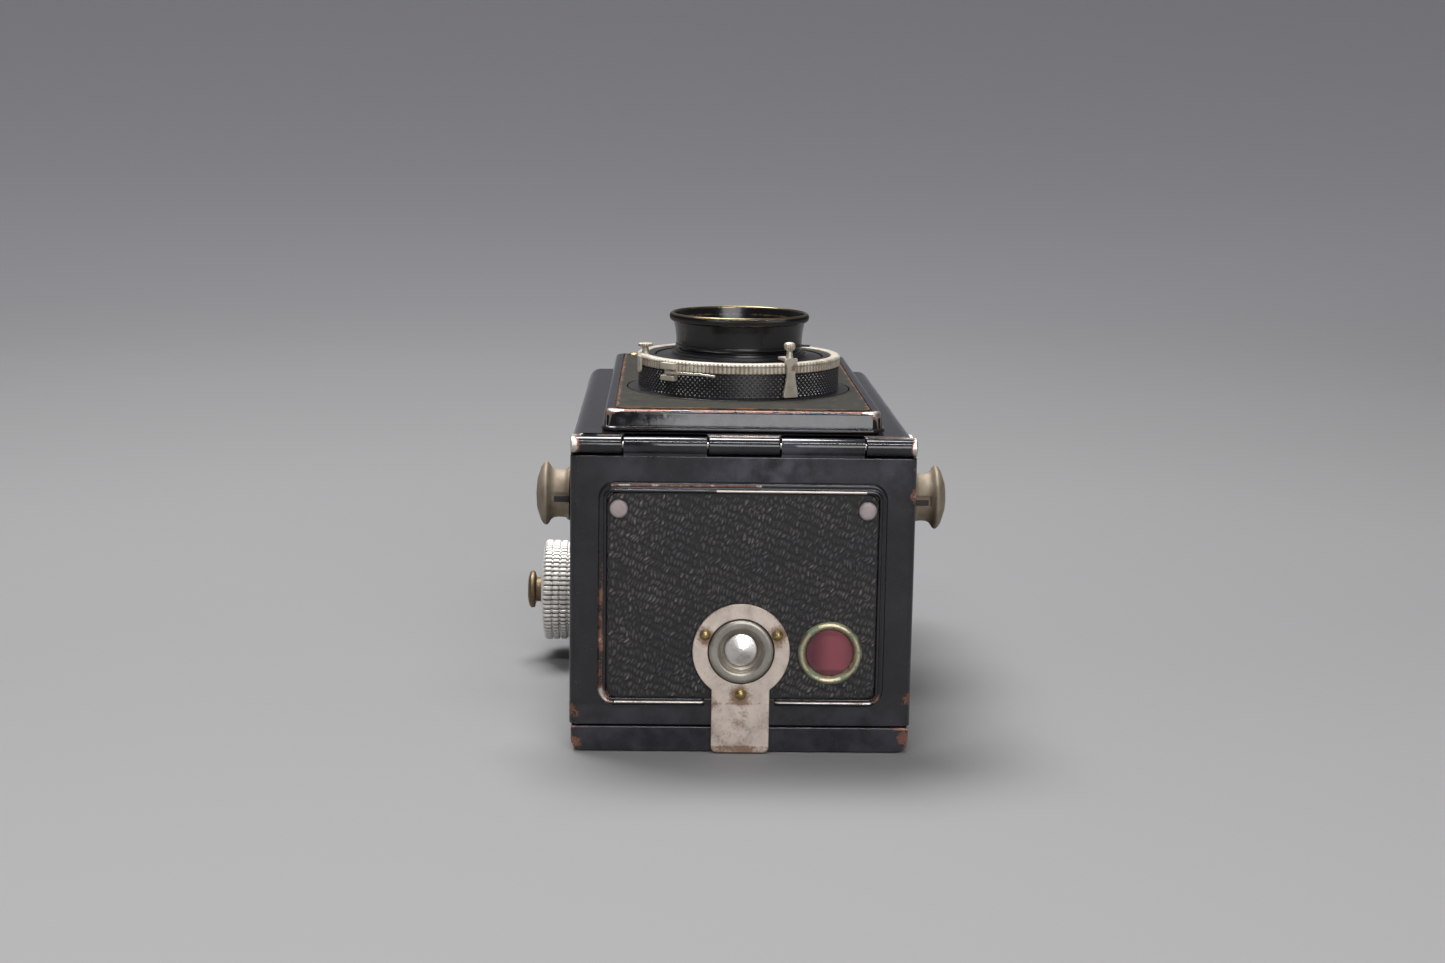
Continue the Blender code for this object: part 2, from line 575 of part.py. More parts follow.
# ---------------------------------------------------------------- mirror and screen
def make_finder():
    # the mirror is a trapezoid that widens towards the top rear, on y + z = MIRROR_SUM
    front_y, rear_y = 68.5, 119.0
    front_half, rear_half = 20.0, 28.0
    across = math.sqrt(0.5)

    def slab(depth_near, depth_far, edge):
        def add(bm):
            rings = []
            for depth in (depth_near, depth_far):
                shift = depth * across
                ring = []
                for half, y in ((front_half - edge, front_y + edge), (rear_half - edge, rear_y - edge)):
                    z = MIRROR_SUM - y
                    for x in ((-half, half) if y < CENTRE_Y + 20 else (half, -half)):
                        ring.append(bm.verts.new(to_world("Z", x, y - shift, z - shift)))
                rings.append(bm.faces.new(ring))
            bmesh.ops.bridge_loops(bm, edges=list(rings[0].edges) + list(rings[1].edges))
        return add

    piece("mirror", "mirror_silver", (0, VIEWING_Y, MIRROR_SUM - VIEWING_Y), [slab(0, 1.5, 0)])
    piece("mirror_frame", "black_metal", (0, VIEWING_Y, MIRROR_SUM - VIEWING_Y),
          [slab(1.5 + GAP, 2.6, 0.4)])
    glass_top = BODY_LENGTH - 1.8 - GAP
    piece("ground_glass", "ground_glass", (0, glass_top, 37.5),
          [box((-30, 30), (glass_top - 2.0, glass_top), (8.0, 67.0))])


# ---------------------------------------------------------------- lens board
def make_lens_board():
    board_pivot = pivot("lens_board", 0, TAKING_Y, BOARD_TOP)
    y0, y1 = BOARD_Y
    half, inset = BOARD_HALF, BOARD_DRAFT
    board = piece("lens_board", "black_enamel", (0, TAKING_Y, BOARD_BASE), [frustum(
        ((-half, half), (y0, y1), BOARD_BASE),
        ((-half + inset, half - inset), (y0 + inset, y1 - inset), BOARD_TOP))], board_pivot)
    inner = half - BOARD_WALL
    cut(board, box((-inner, inner), (y0 + BOARD_WALL, y1 - BOARD_WALL),
                   (BOARD_BASE - 2, BOARD_TOP - BOARD_PLATE)))
    cut(board, prism("Z", rounded((-29.3, 29.3), (9.2, 118.8), 2.0), (BOARD_TOP - 0.5, BOARD_TOP + 2)))
    under = BOARD_TOP - BOARD_PLATE
    join(board, rod("Z", (0, TAKING_Y), 15.5, (67.2, under + 0.4), ROUND))
    join(board, rod("Z", (0, VIEWING_Y), 14.4, (69.5, under + 0.4), ROUND))
    cut(board, rod("Z", (0, TAKING_Y), TAKING_BORE, (60, 90), ROUND),
        rod("Z", (0, VIEWING_Y), VIEWING_BORE, (60, 90), ROUND))

    panel = piece("board_panel", "panel_paint", (0, TAKING_Y, BOARD_TOP),
                  [prism("Z", rounded((-29.0, 29.0), (9.5, 118.5), 1.7),
                         (BOARD_TOP - 0.2, BOARD_TOP + 0.2))],
                  board_pivot)
    screw_at = (26.4, 115.9)
    cut(panel, rod("Z", (0, TAKING_Y), FLANGE_RADIUS + GAP, (70, 90), FINE),
        rod("Z", screw_at, 1.7, (70, 90), TINY),
        rod("Z", (-screw_at[0], screw_at[1]), 1.7, (70, 90), TINY))
    cut(panel, rod("Z", (0, VIEWING_Y), VIEW_FLANGE + 1.0, (70, 90), ROUND))
    # panel screws with a slotted domed head
    head = [(0, 77.8), (1.4, 77.8), (1.4, 78.4), (0.9, 78.75), (0, 78.85)]
    for name, side in (("board_screw_left", -1), ("board_screw_right", 1)):
        centre = (side * screw_at[0], screw_at[1])
        screw = piece(name, "aged_brass", (*centre, BOARD_TOP), [turned("Z", centre, head, SMALL)],
                      board_pivot)
        x, y = centre
        cut(screw, box((x - 2, x + 2), (y - 0.2, y + 0.2), (78.45, 80)))

    # fixed sleeve inside the board's flanks
    sleeve = piece("focus_sleeve", "black_metal", (0, TAKING_Y, BODY_FRONT + GAP), [
        box((-30.7, 30.7), (7.6, 120.4), (BODY_FRONT + GAP, under - GAP))])
    cut(sleeve, box((-29.4, 29.4), (8.9, 119.1), (BODY_FRONT - 2, BOARD_TOP)))
    return board_pivot


def make_shutter(board_pivot):
    base = BOARD_TOP - 0.2
    centre = (0, TAKING_Y)
    housing = [(TAKING_BORE, base), (FLANGE_RADIUS, base), (FLANGE_RADIUS, base + 0.4),
               (DRUM_RADIUS, base + 0.5), (DRUM_RADIUS, DRUM_TOP),
               (RING_BORE - GAP, DRUM_TOP), (RING_BORE - GAP, 86.2),
               (20.5, 86.2), (20.5, 80.2), (TAKING_BORE, 80.2)]
    piece("shutter_housing", "black_metal", (*centre, base), [turned("Z", centre, housing, FINE)],
          board_pivot)
    face = [(12.0, 81.0), (16.0, 81.0), (16.0, 84.8), (20.2, 84.8), (20.2, 86.0), (15.0, 86.5),
            (14.8, 87.6), (NECK_RADIUS, 87.7), (NECK_RADIUS, 90.0), (12.0, 90.0)]
    piece("shutter_face", "black_metal", (*centre, 84.8), [turned("Z", centre, face, 28)], board_pivot)
    ring_pivot = pivot("aperture_ring", *centre, DRUM_TOP)
    ring = [(RING_BORE, DRUM_TOP + GAP), (RING_RADIUS, DRUM_TOP + GAP), (RING_RADIUS, RING_TOP - 0.3),
            (RING_RADIUS - 0.4, RING_TOP), (RING_BORE, RING_TOP)]
    aperture = piece("aperture_ring", "nickel", (*centre, DRUM_TOP), [turned("Z", centre, ring, FINE)],
                     ring_pivot)
    # pointer that hangs from the ring beside the drum, and the ring's knob
    y = TAKING_Y - DRUM_RADIUS - 0.8
    width, tip = 0.8, 82.4
    pointer = [(width, RING_TOP - 0.1), (-width, RING_TOP - 0.1), (-width, tip + 1.0), (0, tip),
               (width, tip + 1.0)]
    join(aperture, turn_about_lens(prism("Y", pointer, (y - 0.7, y)), POINTER_AT))
    arm = box((-width, width), (y - 0.3, y + 1.2), (RING_TOP - 1.1, RING_TOP - 0.1))
    join(aperture, turn_about_lens(arm, POINTER_AT))
    knob = [(0, RING_TOP - 0.3), (1.0, RING_TOP - 0.3), (1.0, 88.2), (1.75, 88.2), (1.75, 88.9), (0, 88.9)]
    post = (0, TAKING_Y - RING_KNOB_RADIUS)
    join(aperture, turn_about_lens(turned("Z", post, knob, SMALL), RING_KNOB_AT))
    lens = [(0, 84.0), (11.7, 85.0), (11.7, 86.4), (8.0, 87.6), (4.0, 88.3), (0, 88.5)]
    piece("taking_lens", "lens_glass", (*centre, 85.0), [turned("Z", centre, lens)], board_pivot)
    hood_pivot = pivot("lens_hood", *centre, 88.3)
    hood = [(13.8, 88.3), (15.5, 88.3), (16.0, 94.2), (HOOD_RIM, 94.4), (HOOD_RIM, HOOD_TOP - 0.3),
            (16.6, HOOD_TOP), (16.1, HOOD_TOP - 0.2), (14.9, 90.7), (13.8, 90.4)]
    piece("lens_hood", "black_metal", (*centre, 88.3), [turned("Z", centre, hood, 28)], hood_pivot)

    make_release(centre, board_pivot)
    make_cocking_lever(centre)


def make_release(centre, board_pivot):
    """A two-tier block on the drum, and the long arm that comes out between its tiers."""
    start = RELEASE_AT - RELEASE_HALF
    end = RELEASE_AT + RELEASE_HALF
    inner = DRUM_RADIUS + GAP
    web = inner + 0.5
    outer = web + 1.3
    slot = (83.1, 84.6)
    block = piece("release_block", "nickel", (*centre, slot[0]),
                  [curved_bar((inner, web), (start, end), (82.0, DRUM_TOP - 0.05))], board_pivot)
    join(block, curved_bar((inner, outer), (start, end), (81.9, slot[0])),
         curved_bar((web - 0.1, outer), (start, end), (slot[1], slot[1] + 1.5)))
    lever_pivot = pivot("release_lever", *centre, DRUM_TOP)
    piece("release_lever", "nickel", (*centre, slot[0]),
          [curved_bar((web + GAP, outer - 0.3), (RELEASE_AT - 1.5, RELEASE_TIP),
                      (slot[0] + GAP, slot[1] - GAP))], lever_pivot)


def make_cocking_lever(centre):
    """An hourglass plate against the drum, bent in over the ring, with a small knob; drawn at the
    base side and then turned."""
    y = TAKING_Y - DRUM_RADIUS - 0.7
    foot, waist, head = 1.95, 1.05, 1.75
    top = RING_TOP + 1.3
    right = [(foot, 78.6), (foot - 0.15, 80.5), (waist, 83.8), (waist, 85.6), (head, top - 0.5),
             (head, top)]
    left = [(-x, z) for x, z in reversed(right)]
    lever_pivot = pivot("cocking_lever", *centre, DRUM_TOP)
    lever = piece("cocking_lever", "nickel", (*centre, DRUM_TOP),
                  [turn_about_lens(prism("Y", right + left, (y - 0.8, y)), COCKING_AT)], lever_pivot)
    bend = box((-waist, waist), (y - 0.5, y + 4.2), (top - 0.8, top))
    join(lever, turn_about_lens(bend, COCKING_AT))
    post = (0, y + 0.4)
    knob = [(0, top - 0.3), (0.7, top - 0.3), (0.7, top + 2.0), (1.35, top + 2.3), (1.35, top + 3.4),
            (0.9, top + 3.8), (0, top + 3.8)]
    join(lever, turn_about_lens(turned("Z", post, knob, TINY), COCKING_AT))


def make_viewing_lens(board_pivot):
    base = BOARD_TOP - 0.2
    centre = (0, VIEWING_Y)
    outer = VIEW_RADIUS
    barrel = [(12.4, base), (VIEW_FLANGE, base), (VIEW_FLANGE, base + 1.0), (outer, base + 1.2),
              (outer, VIEW_TOP - 0.6), (outer - 0.6, VIEW_TOP), (12.6, VIEW_TOP), (12.0, 85.6),
              (11.2, 85.6), (11.2, 80.0), (12.4, 80.0)]
    piece("viewing_lens_tube", "black_metal", (*centre, base), [turned("Z", centre, barrel)], board_pivot)
    lens = [(0, 82.0), (10.9, 83.0), (10.9, 84.6), (7.6, 86.0), (3.8, 86.7), (0, 86.9)]
    piece("viewing_lens", "lens_glass", (*centre, 83.0), [turned("Z", centre, lens)], board_pivot)


# ---------------------------------------------------------------- focusing
def pinion_outline():
    """Nine tapered teeth about the focusing shaft, one of them pointing at the rack."""
    outline = []
    root = PINION_PITCH - DEDENDUM
    tip = PINION_PITCH + ADDENDUM
    foot = TOOTH_HALF + 0.25
    for tooth in range(PINION_TEETH):
        angle = math.tau * tooth / PINION_TEETH
        for radius, half in ((root, -foot), (PINION_PITCH, -TOOTH_HALF), (tip, -TOOTH_TIP),
                             (tip, TOOTH_TIP), (PINION_PITCH, TOOTH_HALF), (root, foot)):
            y = radius * math.cos(angle) - half * math.sin(angle)
            z = radius * math.sin(angle) + half * math.cos(angle)
            outline.append((FOCUS[0] + y, FOCUS[1] + z))
    return outline


def rack_outline():
    """A bar whose teeth face the pinion, with a gap in the middle of the pinion's tooth."""
    line = FOCUS[0] + PINION_PITCH
    pitch = math.pi * MODULE
    outline = [(line + 3.5, 33.0), (line + 3.5, BOARD_TOP - BOARD_PLATE - GAP),
               (line + DEDENDUM, BOARD_TOP - BOARD_PLATE - GAP)]
    count = 4
    for tooth in range(count - 1, -count, -1):
        z = FOCUS[1] + (tooth - 0.5) * pitch
        outline += [(line + DEDENDUM, z + TOOTH_HALF + 0.3), (line - ADDENDUM, z + TOOTH_TIP),
                    (line - ADDENDUM, z - TOOTH_TIP), (line + DEDENDUM, z - TOOTH_HALF - 0.3)]
    outline.append((line + DEDENDUM, 33.0))
    return outline


def make_focusing(board_pivot):
    drive_pivot = pivot("focus_drive", HALF_WIDTH, *FOCUS)
    pinion = piece("focus_pinion", "nickel", (GEAR_X[0], *FOCUS),
                   [prism("X", pinion_outline(), GEAR_X)], drive_pivot)
    join(pinion, rod("X", FOCUS, 2.4, (GEAR_X[0] + 0.5, HALF_WIDTH + FOCUS_KNOB_REACH - FOCUS_SHAFT_SUNK)))
    start = HALF_WIDTH + GAP + 0.4
    end = HALF_WIDTH + FOCUS_KNOB_REACH
    edge = FOCUS_KNOB_RADIUS
    knob = [(2.7, start), (edge - 1.5, start), (edge - 1.5, start + 1.0), (edge, start + 1.4),
            (edge, end - 1.0), (edge - 1.0, end), (6.0, end), (5.2, end - 1.2), (2.7, end - 1.2)]
    piece("focus_knob", "bright_alloy", (start, *FOCUS), [turned("X", FOCUS, knob, 28)], drive_pivot)
    piece("focus_rack", "nickel", (GEAR_X[0], FOCUS[0] + PINION_PITCH, 50),
          [prism("X", rack_outline(), GEAR_X)], board_pivot)


# ---------------------------------------------------------------- folding hood
def make_hood_frame():
    front = 68.5
    frame = piece("hood_frame", "black_enamel", (0, HOOD_BASE, 38),
                  [box((-LID_HALF, LID_HALF), (HOOD_BASE, FRAME_TOP), (8.5, front))])
    join(frame, box((-LID_HALF, LID_HALF), (HOOD_BASE + 1, 137.0), (66.4, front)))
    cut(frame, box((-28.5, 28.5), (HOOD_BASE - 2, FRAME_TOP + 2), (13.6, 65.0)))
    # lugs that hold the lid, the side leaves and the rear leaf
    y, z = LID_AXIS
    for side in (-1, 1):
        span = sorted((side * 27.0, side * 31.0))
        join(frame, box(span, (136.0, y), (z - 1.0, z + 0.9)))
        join(frame, rod("X", LID_AXIS, 1.5, span, TINY))
        join(frame, *[box(sorted((side * 30.7, side * 33.0)), (FRAME_TOP - 1, 132.2), (low, low + 1.6))
                      for low in (11.2, 63.2)])
        join(frame, box(sorted((side * 24.6, side * 26.2)), (FRAME_TOP - 1, 131.4), (10.2, 12.6)))
    join(frame, rod("X", LID_AXIS, PIN_RADIUS, (-28, 28), TINY))
    x, y = LEAF_AXIS
    for side in (-1, 1):
        cut(frame, rod("Z", (side * x, y), 0.7, (12.1, 13.5), TINY),
            rod("Z", (side * x, y), 0.7, (62.0, 63.9), TINY))
    cut(frame, rod("X", REAR_AXIS, 0.7, (-25.7, -24), TINY), rod("X", REAR_AXIS, 0.7, (24, 25.7), TINY))


def make_hood_lid():
    lid_pivot = pivot("hood_lid", 0, *LID_AXIS)
    margin = 3.0
    lid = piece("hood_lid", "black_enamel", (0, *LID_AXIS),
                [box((-LID_HALF, LID_HALF), (129.6, LID_TOP), (LID_REAR, 65.6))], lid_pivot)
    inner = LID_HALF - 1.1
    cut(lid, box((-inner, inner), (128, LID_UNDER), (LID_REAR + 1.1, 67)))
    join(lid, box((-26.6, 26.6), (LID_UNDER, LID_TOP - 0.1), (65.0, LID_AXIS[1])))
    join(lid, rod("X", LID_AXIS, 1.5, (-26.6, 26.6), TINY))
    y, z = MAGNIFIER_PIVOT
    for side in (-1, 1):
        join(lid, box(sorted((side * 6.4, side * 7.8)), (y - 1.3, LID_UNDER + 0.5), (z - 1.4, z + 1.4)))
    cut(lid, rod("X", LID_AXIS, PIN_BORE, (-28, 28), TINY))
    area = (-LID_HALF + margin, LID_HALF - margin), (LID_REAR + margin, 65.6 - margin)
    cut(lid, prism("Y", rounded(*area, 2.5), (LID_TOP - LEATHER_POCKET, LID_TOP + 1)))
    piece("hood_lid_leather", "black_leather", (0, LID_TOP, 37),
          [prism("Y", rounded(*[(a + GAP, b - GAP) for a, b in area], 2.2),
                 (LID_TOP - 0.2, LID_TOP - 0.2 + LEATHER_THICK))], lid_pivot)
    for span in ((-7.2, -6), (6, 7.2)):
        cut(lid, rod("X", MAGNIFIER_PIVOT, 0.8, span, TINY))

    glass_pivot = pivot("magnifier", 0, *MAGNIFIER_PIVOT)
    centre = (0, z - MAGNIFIER_ARM)
    frame = piece("magnifier_frame", "black_metal", (0, y, z),
                  [tube("Y", centre, MAGNIFIER_RADIUS, 9.2, (134.0, 136.8))], glass_pivot)
    join(frame, box((-3.0, 3.0), (136.0, 136.7), (z - 7.2, z)))
    join(frame, rod("X", MAGNIFIER_PIVOT, 0.9, (-6.1, 6.1), TINY))
    join(frame, rod("X", MAGNIFIER_PIVOT, 0.5, (-7.0, 7.0), TINY))
    lens = [(0, 133.9), (5.0, 134.2), (8.9, 134.9), (8.9, 135.7), (5.0, 136.3), (0, 136.6)]
    piece("magnifier_lens", "lens_glass", (0, y, centre[1]), [turned("Y", centre, lens)], glass_pivot)


def make_hood_leaves():
    x, y = LEAF_AXIS
    under = y + 0.4
    for name, side in (("hood_side_left", -1), ("hood_side_right", 1)):
        leaf_pivot = pivot(name, side * x, y, 38)
        # cut back at the front so that it rises clear of the lid
        outline = [(side * x, 13.2), (side * x, 62.8), (side * (x - 8), 62.8),
                   (side * (x - LEAF_REACH), 49.5), (side * (x - LEAF_REACH), 20.0),
                   (side * (x - 8), 13.2)]
        leaf = piece(name, "black_enamel", (side * x, y, 38),
                     [prism("Y", outline, (under, under + LEAF_THICK))], leaf_pivot)
        join(leaf, rod("Z", (side * x, y), 0.9, (13.2, 62.8), TINY))
        join(leaf, rod("Z", (side * x, y), 0.4, (12.4, 63.6), TINY))
    y, z = REAR_AXIS
    leaf_pivot = pivot("hood_rear_leaf", 0, y, z)
    outline = [(-24.2, z), (24.2, z), (24.2, z + 8), (9.5, z + REAR_REACH), (-9.5, z + REAR_REACH),
               (-24.2, z + 8)]
    leaf = piece("hood_rear_leaf", "black_enamel", (0, y, z), [prism("Y", outline, (y, y + LEAF_THICK))],
                 leaf_pivot)
    join(leaf, rod("X", REAR_AXIS, 0.9, (-24.2, 24.2), TINY))
    join(leaf, rod("X", REAR_AXIS, 0.4, (-25.4, 25.4), TINY))


# ---------------------------------------------------------------- camera
def main():
    for obj in list(bpy.data.objects):
        bpy.data.objects.remove(obj, do_unlink=True)
    make_body()
    make_side_leathers()
    make_strap_lugs()
    make_base_door()
    make_back_cover()
    winder_pivot = make_film_path()
    make_spool_knobs()
    make_winder(winder_pivot)
    make_finder()
    board_pivot = make_lens_board()
    make_shutter(board_pivot)
    make_viewing_lens(board_pivot)
    make_focusing(board_pivot)
    make_hood_frame()
    make_hood_lid()
    make_hood_leaves()


main()
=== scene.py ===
"""The looks of a twin lens reflex camera: fine pieces, materials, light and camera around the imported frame.

Lengths are in millimetres in the row frame (x across, y from base to hood, z out through the
lenses) and become metres where a mesh is made. Places come from the CAD nodes' boxes and the
joints in the record.
"""

import itertools
import json
import math

import bmesh
import bpy
import numpy as np
from mathutils import Matrix, Vector

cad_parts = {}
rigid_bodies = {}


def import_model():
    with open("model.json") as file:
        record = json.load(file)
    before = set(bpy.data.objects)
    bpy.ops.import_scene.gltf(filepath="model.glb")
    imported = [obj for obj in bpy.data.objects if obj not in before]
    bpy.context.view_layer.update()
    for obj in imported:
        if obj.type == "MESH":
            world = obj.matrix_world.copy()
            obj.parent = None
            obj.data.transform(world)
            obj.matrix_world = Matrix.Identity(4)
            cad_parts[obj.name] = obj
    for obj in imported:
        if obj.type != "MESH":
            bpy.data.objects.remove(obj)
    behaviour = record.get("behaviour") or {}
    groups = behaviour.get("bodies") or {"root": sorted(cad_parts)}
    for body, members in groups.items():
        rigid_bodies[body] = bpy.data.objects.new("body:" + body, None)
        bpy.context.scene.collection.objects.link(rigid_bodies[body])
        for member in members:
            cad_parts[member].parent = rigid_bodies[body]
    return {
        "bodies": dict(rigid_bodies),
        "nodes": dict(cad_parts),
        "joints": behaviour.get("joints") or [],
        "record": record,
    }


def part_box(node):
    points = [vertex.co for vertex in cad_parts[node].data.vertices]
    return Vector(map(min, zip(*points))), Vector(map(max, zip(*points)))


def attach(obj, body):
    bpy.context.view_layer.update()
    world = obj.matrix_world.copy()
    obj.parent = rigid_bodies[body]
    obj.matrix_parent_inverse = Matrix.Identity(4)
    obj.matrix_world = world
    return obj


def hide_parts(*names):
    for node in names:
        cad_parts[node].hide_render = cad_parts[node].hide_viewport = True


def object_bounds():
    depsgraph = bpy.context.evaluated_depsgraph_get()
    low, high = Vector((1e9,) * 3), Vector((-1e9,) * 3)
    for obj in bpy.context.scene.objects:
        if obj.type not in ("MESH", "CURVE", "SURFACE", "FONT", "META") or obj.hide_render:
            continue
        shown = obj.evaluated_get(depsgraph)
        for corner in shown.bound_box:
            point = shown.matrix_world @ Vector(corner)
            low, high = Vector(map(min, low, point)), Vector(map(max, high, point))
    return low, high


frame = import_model()
cad_low, cad_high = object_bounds()
MM = 0.001


# ---------------------------------------------------------------- places
def limits(node):
    """The (low, high) pairs of a CAD node on x, y and z, in millimetres."""
    low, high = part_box(node)
    return [(low[i] / MM, high[i] / MM) for i in range(3)]


def middle(node):
    return [(low + high) / 2 for low, high in limits(node)]


def joint_place(name):
    joint = next(j for j in frame["joints"] if j["name"] == name)
    return [v / MM for v in joint["pos_m"]]


def smooth(t):
    t = np.clip(t, 0.0, 1.0)
    return t * t * (3 - 2 * t)


# ---------------------------------------------------------------- outlines
def arc(centre, radius, start, end, steps):
    """Points on an arc, angles in degrees."""
    angles = np.radians(np.linspace(start, end, steps + 1))
    return [(centre[0] + radius * math.cos(a), centre[1] + radius * math.sin(a)) for a in angles]


def rounded(a, b, radius, steps=8):
    """Outline of a rectangle between limits a and b with rounded corners, the same count for every size."""
    outline = []
    corners = ((a[1], b[1]), (a[0], b[1]), (a[0], b[0]), (a[1], b[0]))
    for number, (corner_a, corner_b) in enumerate(corners):
        inside = (corner_a - math.copysign(radius, corner_a - sum(a) / 2),
                  corner_b - math.copysign(radius, corner_b - sum(b) / 2))
        outline += arc(inside, radius, number * 90, number * 90 + 90, steps)
    return outline


def soften(points, radius, steps=4, closed=False):
    """A polyline whose inner corners are rounded off by radius."""
    count = len(points)
    result = []
    for i, point in enumerate(points):
        if not closed and i in (0, count - 1):
            result.append(point)
            continue
        here = Vector(point)
        before = Vector(points[i - 1]) - here
        after = Vector(points[(i + 1) % count]) - here
        reach = min(radius, before.length * 0.45, after.length * 0.45)
        if reach < 1e-4 or abs(before.normalized().dot(after.normalized())) > 0.995:
            result.append(point)
            continue
        first = here + before.normalized() * reach
        last = here + after.normalized() * reach
        for step in range(steps + 1):
            t = step / steps
            curve = first * (1 - t) ** 2 + here * 2 * t * (1 - t) + last * t * t
            result.append(tuple(curve))
    return result


def above(base, way, *points):
    """Profile points given as (radius, height) pairs, with heights from a base, up (1) or down (-1)."""
    return [(radius, base + way * height) for radius, height in points]


# ---------------------------------------------------------------- meshes
def to_world(axis, a, b, h):
    """Points with two coordinates across an axis and one along it, in metres."""
    columns = {"X": (h, a, b), "Y": (a, h, b), "Z": (a, b, h)}[axis]
    return np.stack(np.broadcast_arrays(*columns), axis=-1).reshape(-1, 3) * MM


def make_object(name, points, faces, sharp=38.0):
    mesh = bpy.data.meshes.new(name)
    mesh.from_pydata([tuple(p) for p in points], [], faces)
    return finish_mesh(name, mesh, sharp)


def finish_mesh(name, mesh, sharp=38.0):
    bm = bmesh.new()
    bm.from_mesh(mesh)
    bmesh.ops.remove_doubles(bm, verts=bm.verts, dist=1e-6)
    bmesh.ops.recalc_face_normals(bm, faces=bm.faces)
    bm.to_mesh(mesh)
    bm.free()
    mesh.shade_smooth()
    mesh.set_sharp_from_angle(angle=math.radians(sharp))
    obj = bpy.data.objects.new(name, mesh)
    bpy.context.scene.collection.objects.link(obj)
    return obj


def ring_faces(rows, columns, close_rows, close_columns=True):
    """Quads of a grid of rows x columns points, closed round one or both ways."""
    faces = []
    for r in range(rows if close_rows else rows - 1):
        for c in range(columns if close_columns else columns - 1):
            a = r * columns + c
            b = r * columns + (c + 1) % columns
            d = (r + 1) % rows * columns + c
            e = (r + 1) % rows * columns + (c + 1) % columns
            faces.append((a, b, e, d))
    return faces


def lathe(name, axis, centre, profile, segments=96, ripple=None, rounding=0.15, sharp=38.0, spacing=None):
    """A profile of (radius, height) points spun round an axis; ripple(angle, radius, height) moves
    points outward, for knurls. The mesh keeps how deep each point was sunk, from 0 to 1, as "hollow"."""
    closed = profile[0][0] > 0 and profile[-1][0] > 0
    points = soften(profile, rounding, 3, closed)
    if closed:
        points = points + [points[0]]
    if spacing:
        points = refine(points, spacing)
    if closed:
        points = points[:-1]
    radius = np.array([p[0] for p in points])[:, None]
    height = np.array([p[1] for p in points])[:, None]
    angle = np.linspace(0, math.tau, segments, endpoint=False)[None, :]
    reach = np.broadcast_to(radius, (len(points), segments)).copy()
    sunk = np.zeros(reach.shape)
    if ripple:
        sunk = sunk + np.where(radius > 1e-6, -ripple(angle, radius, height), 0.0)
        reach -= sunk
        sunk = sunk / max(sunk.max(), 1e-6)
    a = centre[0] + reach * np.cos(angle)
    b = centre[1] + reach * np.sin(angle)
    mesh = bpy.data.meshes.new(name)
    faces = ring_faces(len(points), segments, closed)
    mesh.from_pydata(to_world(axis, a, b, height).tolist(), [], faces)
    hollow = mesh.attributes.new("hollow", "FLOAT", "POINT")
    hollow.data.foreach_set("value", sunk.ravel().astype(np.float32))
    return finish_mesh(name, mesh, sharp)


def refine(points, spacing):
    """The same polyline with more points, no further apart than spacing."""
    result = [points[0]]
    for start, end in zip(points, points[1:]):
        length = math.dist(start, end)
        steps = max(1, math.ceil(length / spacing))
        for i in range(1, steps + 1):
            t = i / steps
            result.append((start[0] + (end[0] - start[0]) * t, start[1] + (end[1] - start[1]) * t))
    return result


def loft(name, axis, loops):
    """Skin over loops given as (outline, height), with flat ends."""
    columns = len(loops[0][0])
    points = []
    for outline, height in loops:
        a, b = np.array(outline).T
        points.append(to_world(axis, a, b, height))
    faces = ring_faces(len(loops), columns, False)
    faces.append(tuple(range(columns)))
    faces.append(tuple(range((len(loops) - 1) * columns, len(loops) * columns)))
    return make_object(name, np.concatenate(points), faces)


def plate(name, axis, outline, span, edge=0.15):
    """A flat plate with an outline, and rims softened by a bevel edge mm wide."""
    bm = bmesh.new()
    corners = [bm.verts.new(to_world(axis, a, b, span[0])[0]) for a, b in outline]
    face = bm.faces.new(corners)
    grown = bmesh.ops.extrude_face_region(bm, geom=[face])
    lifted = [item for item in grown["geom"] if isinstance(item, bmesh.types.BMVert)]
    shift = Vector([1.0 if letter == axis else 0.0 for letter in "XYZ"]) * (span[1] - span[0]) * MM
    bmesh.ops.translate(bm, verts=lifted, vec=shift)
    mesh = bpy.data.meshes.new(name)
    bm.to_mesh(mesh)
    bm.free()
    obj = finish_mesh(name, mesh)
    return bevel(obj, edge) if edge else obj


def bevel(obj, width, segments=3):
    modifier = obj.modifiers.new("soft edges", "BEVEL")
    modifier.width = width * MM
    modifier.segments = segments
    modifier.limit_method = "ANGLE"
    modifier.angle_limit = math.radians(40.0)
    modifier.use_clamp_overlap = False
    modifier.harden_normals = True
    return obj


def refined(node, width, segments):
    """A CAD node's own shape with its edges softened, as a new piece that stands for it."""
    bm = bmesh.new()
    bm.from_mesh(frame["nodes"][node].data)
    bmesh.ops.remove_doubles(bm, verts=bm.verts, dist=2e-6)
    bmesh.ops.dissolve_limit(bm, angle_limit=math.radians(0.5), verts=bm.verts, edges=bm.edges)
    mesh = bpy.data.meshes.new(node + "_look")
    bm.to_mesh(mesh)
    bm.free()
    if "custom_normal" in mesh.attributes:
        mesh.attributes.remove(mesh.attributes["custom_normal"])
    return bevel(finish_mesh(node + "_look", mesh), width, segments)


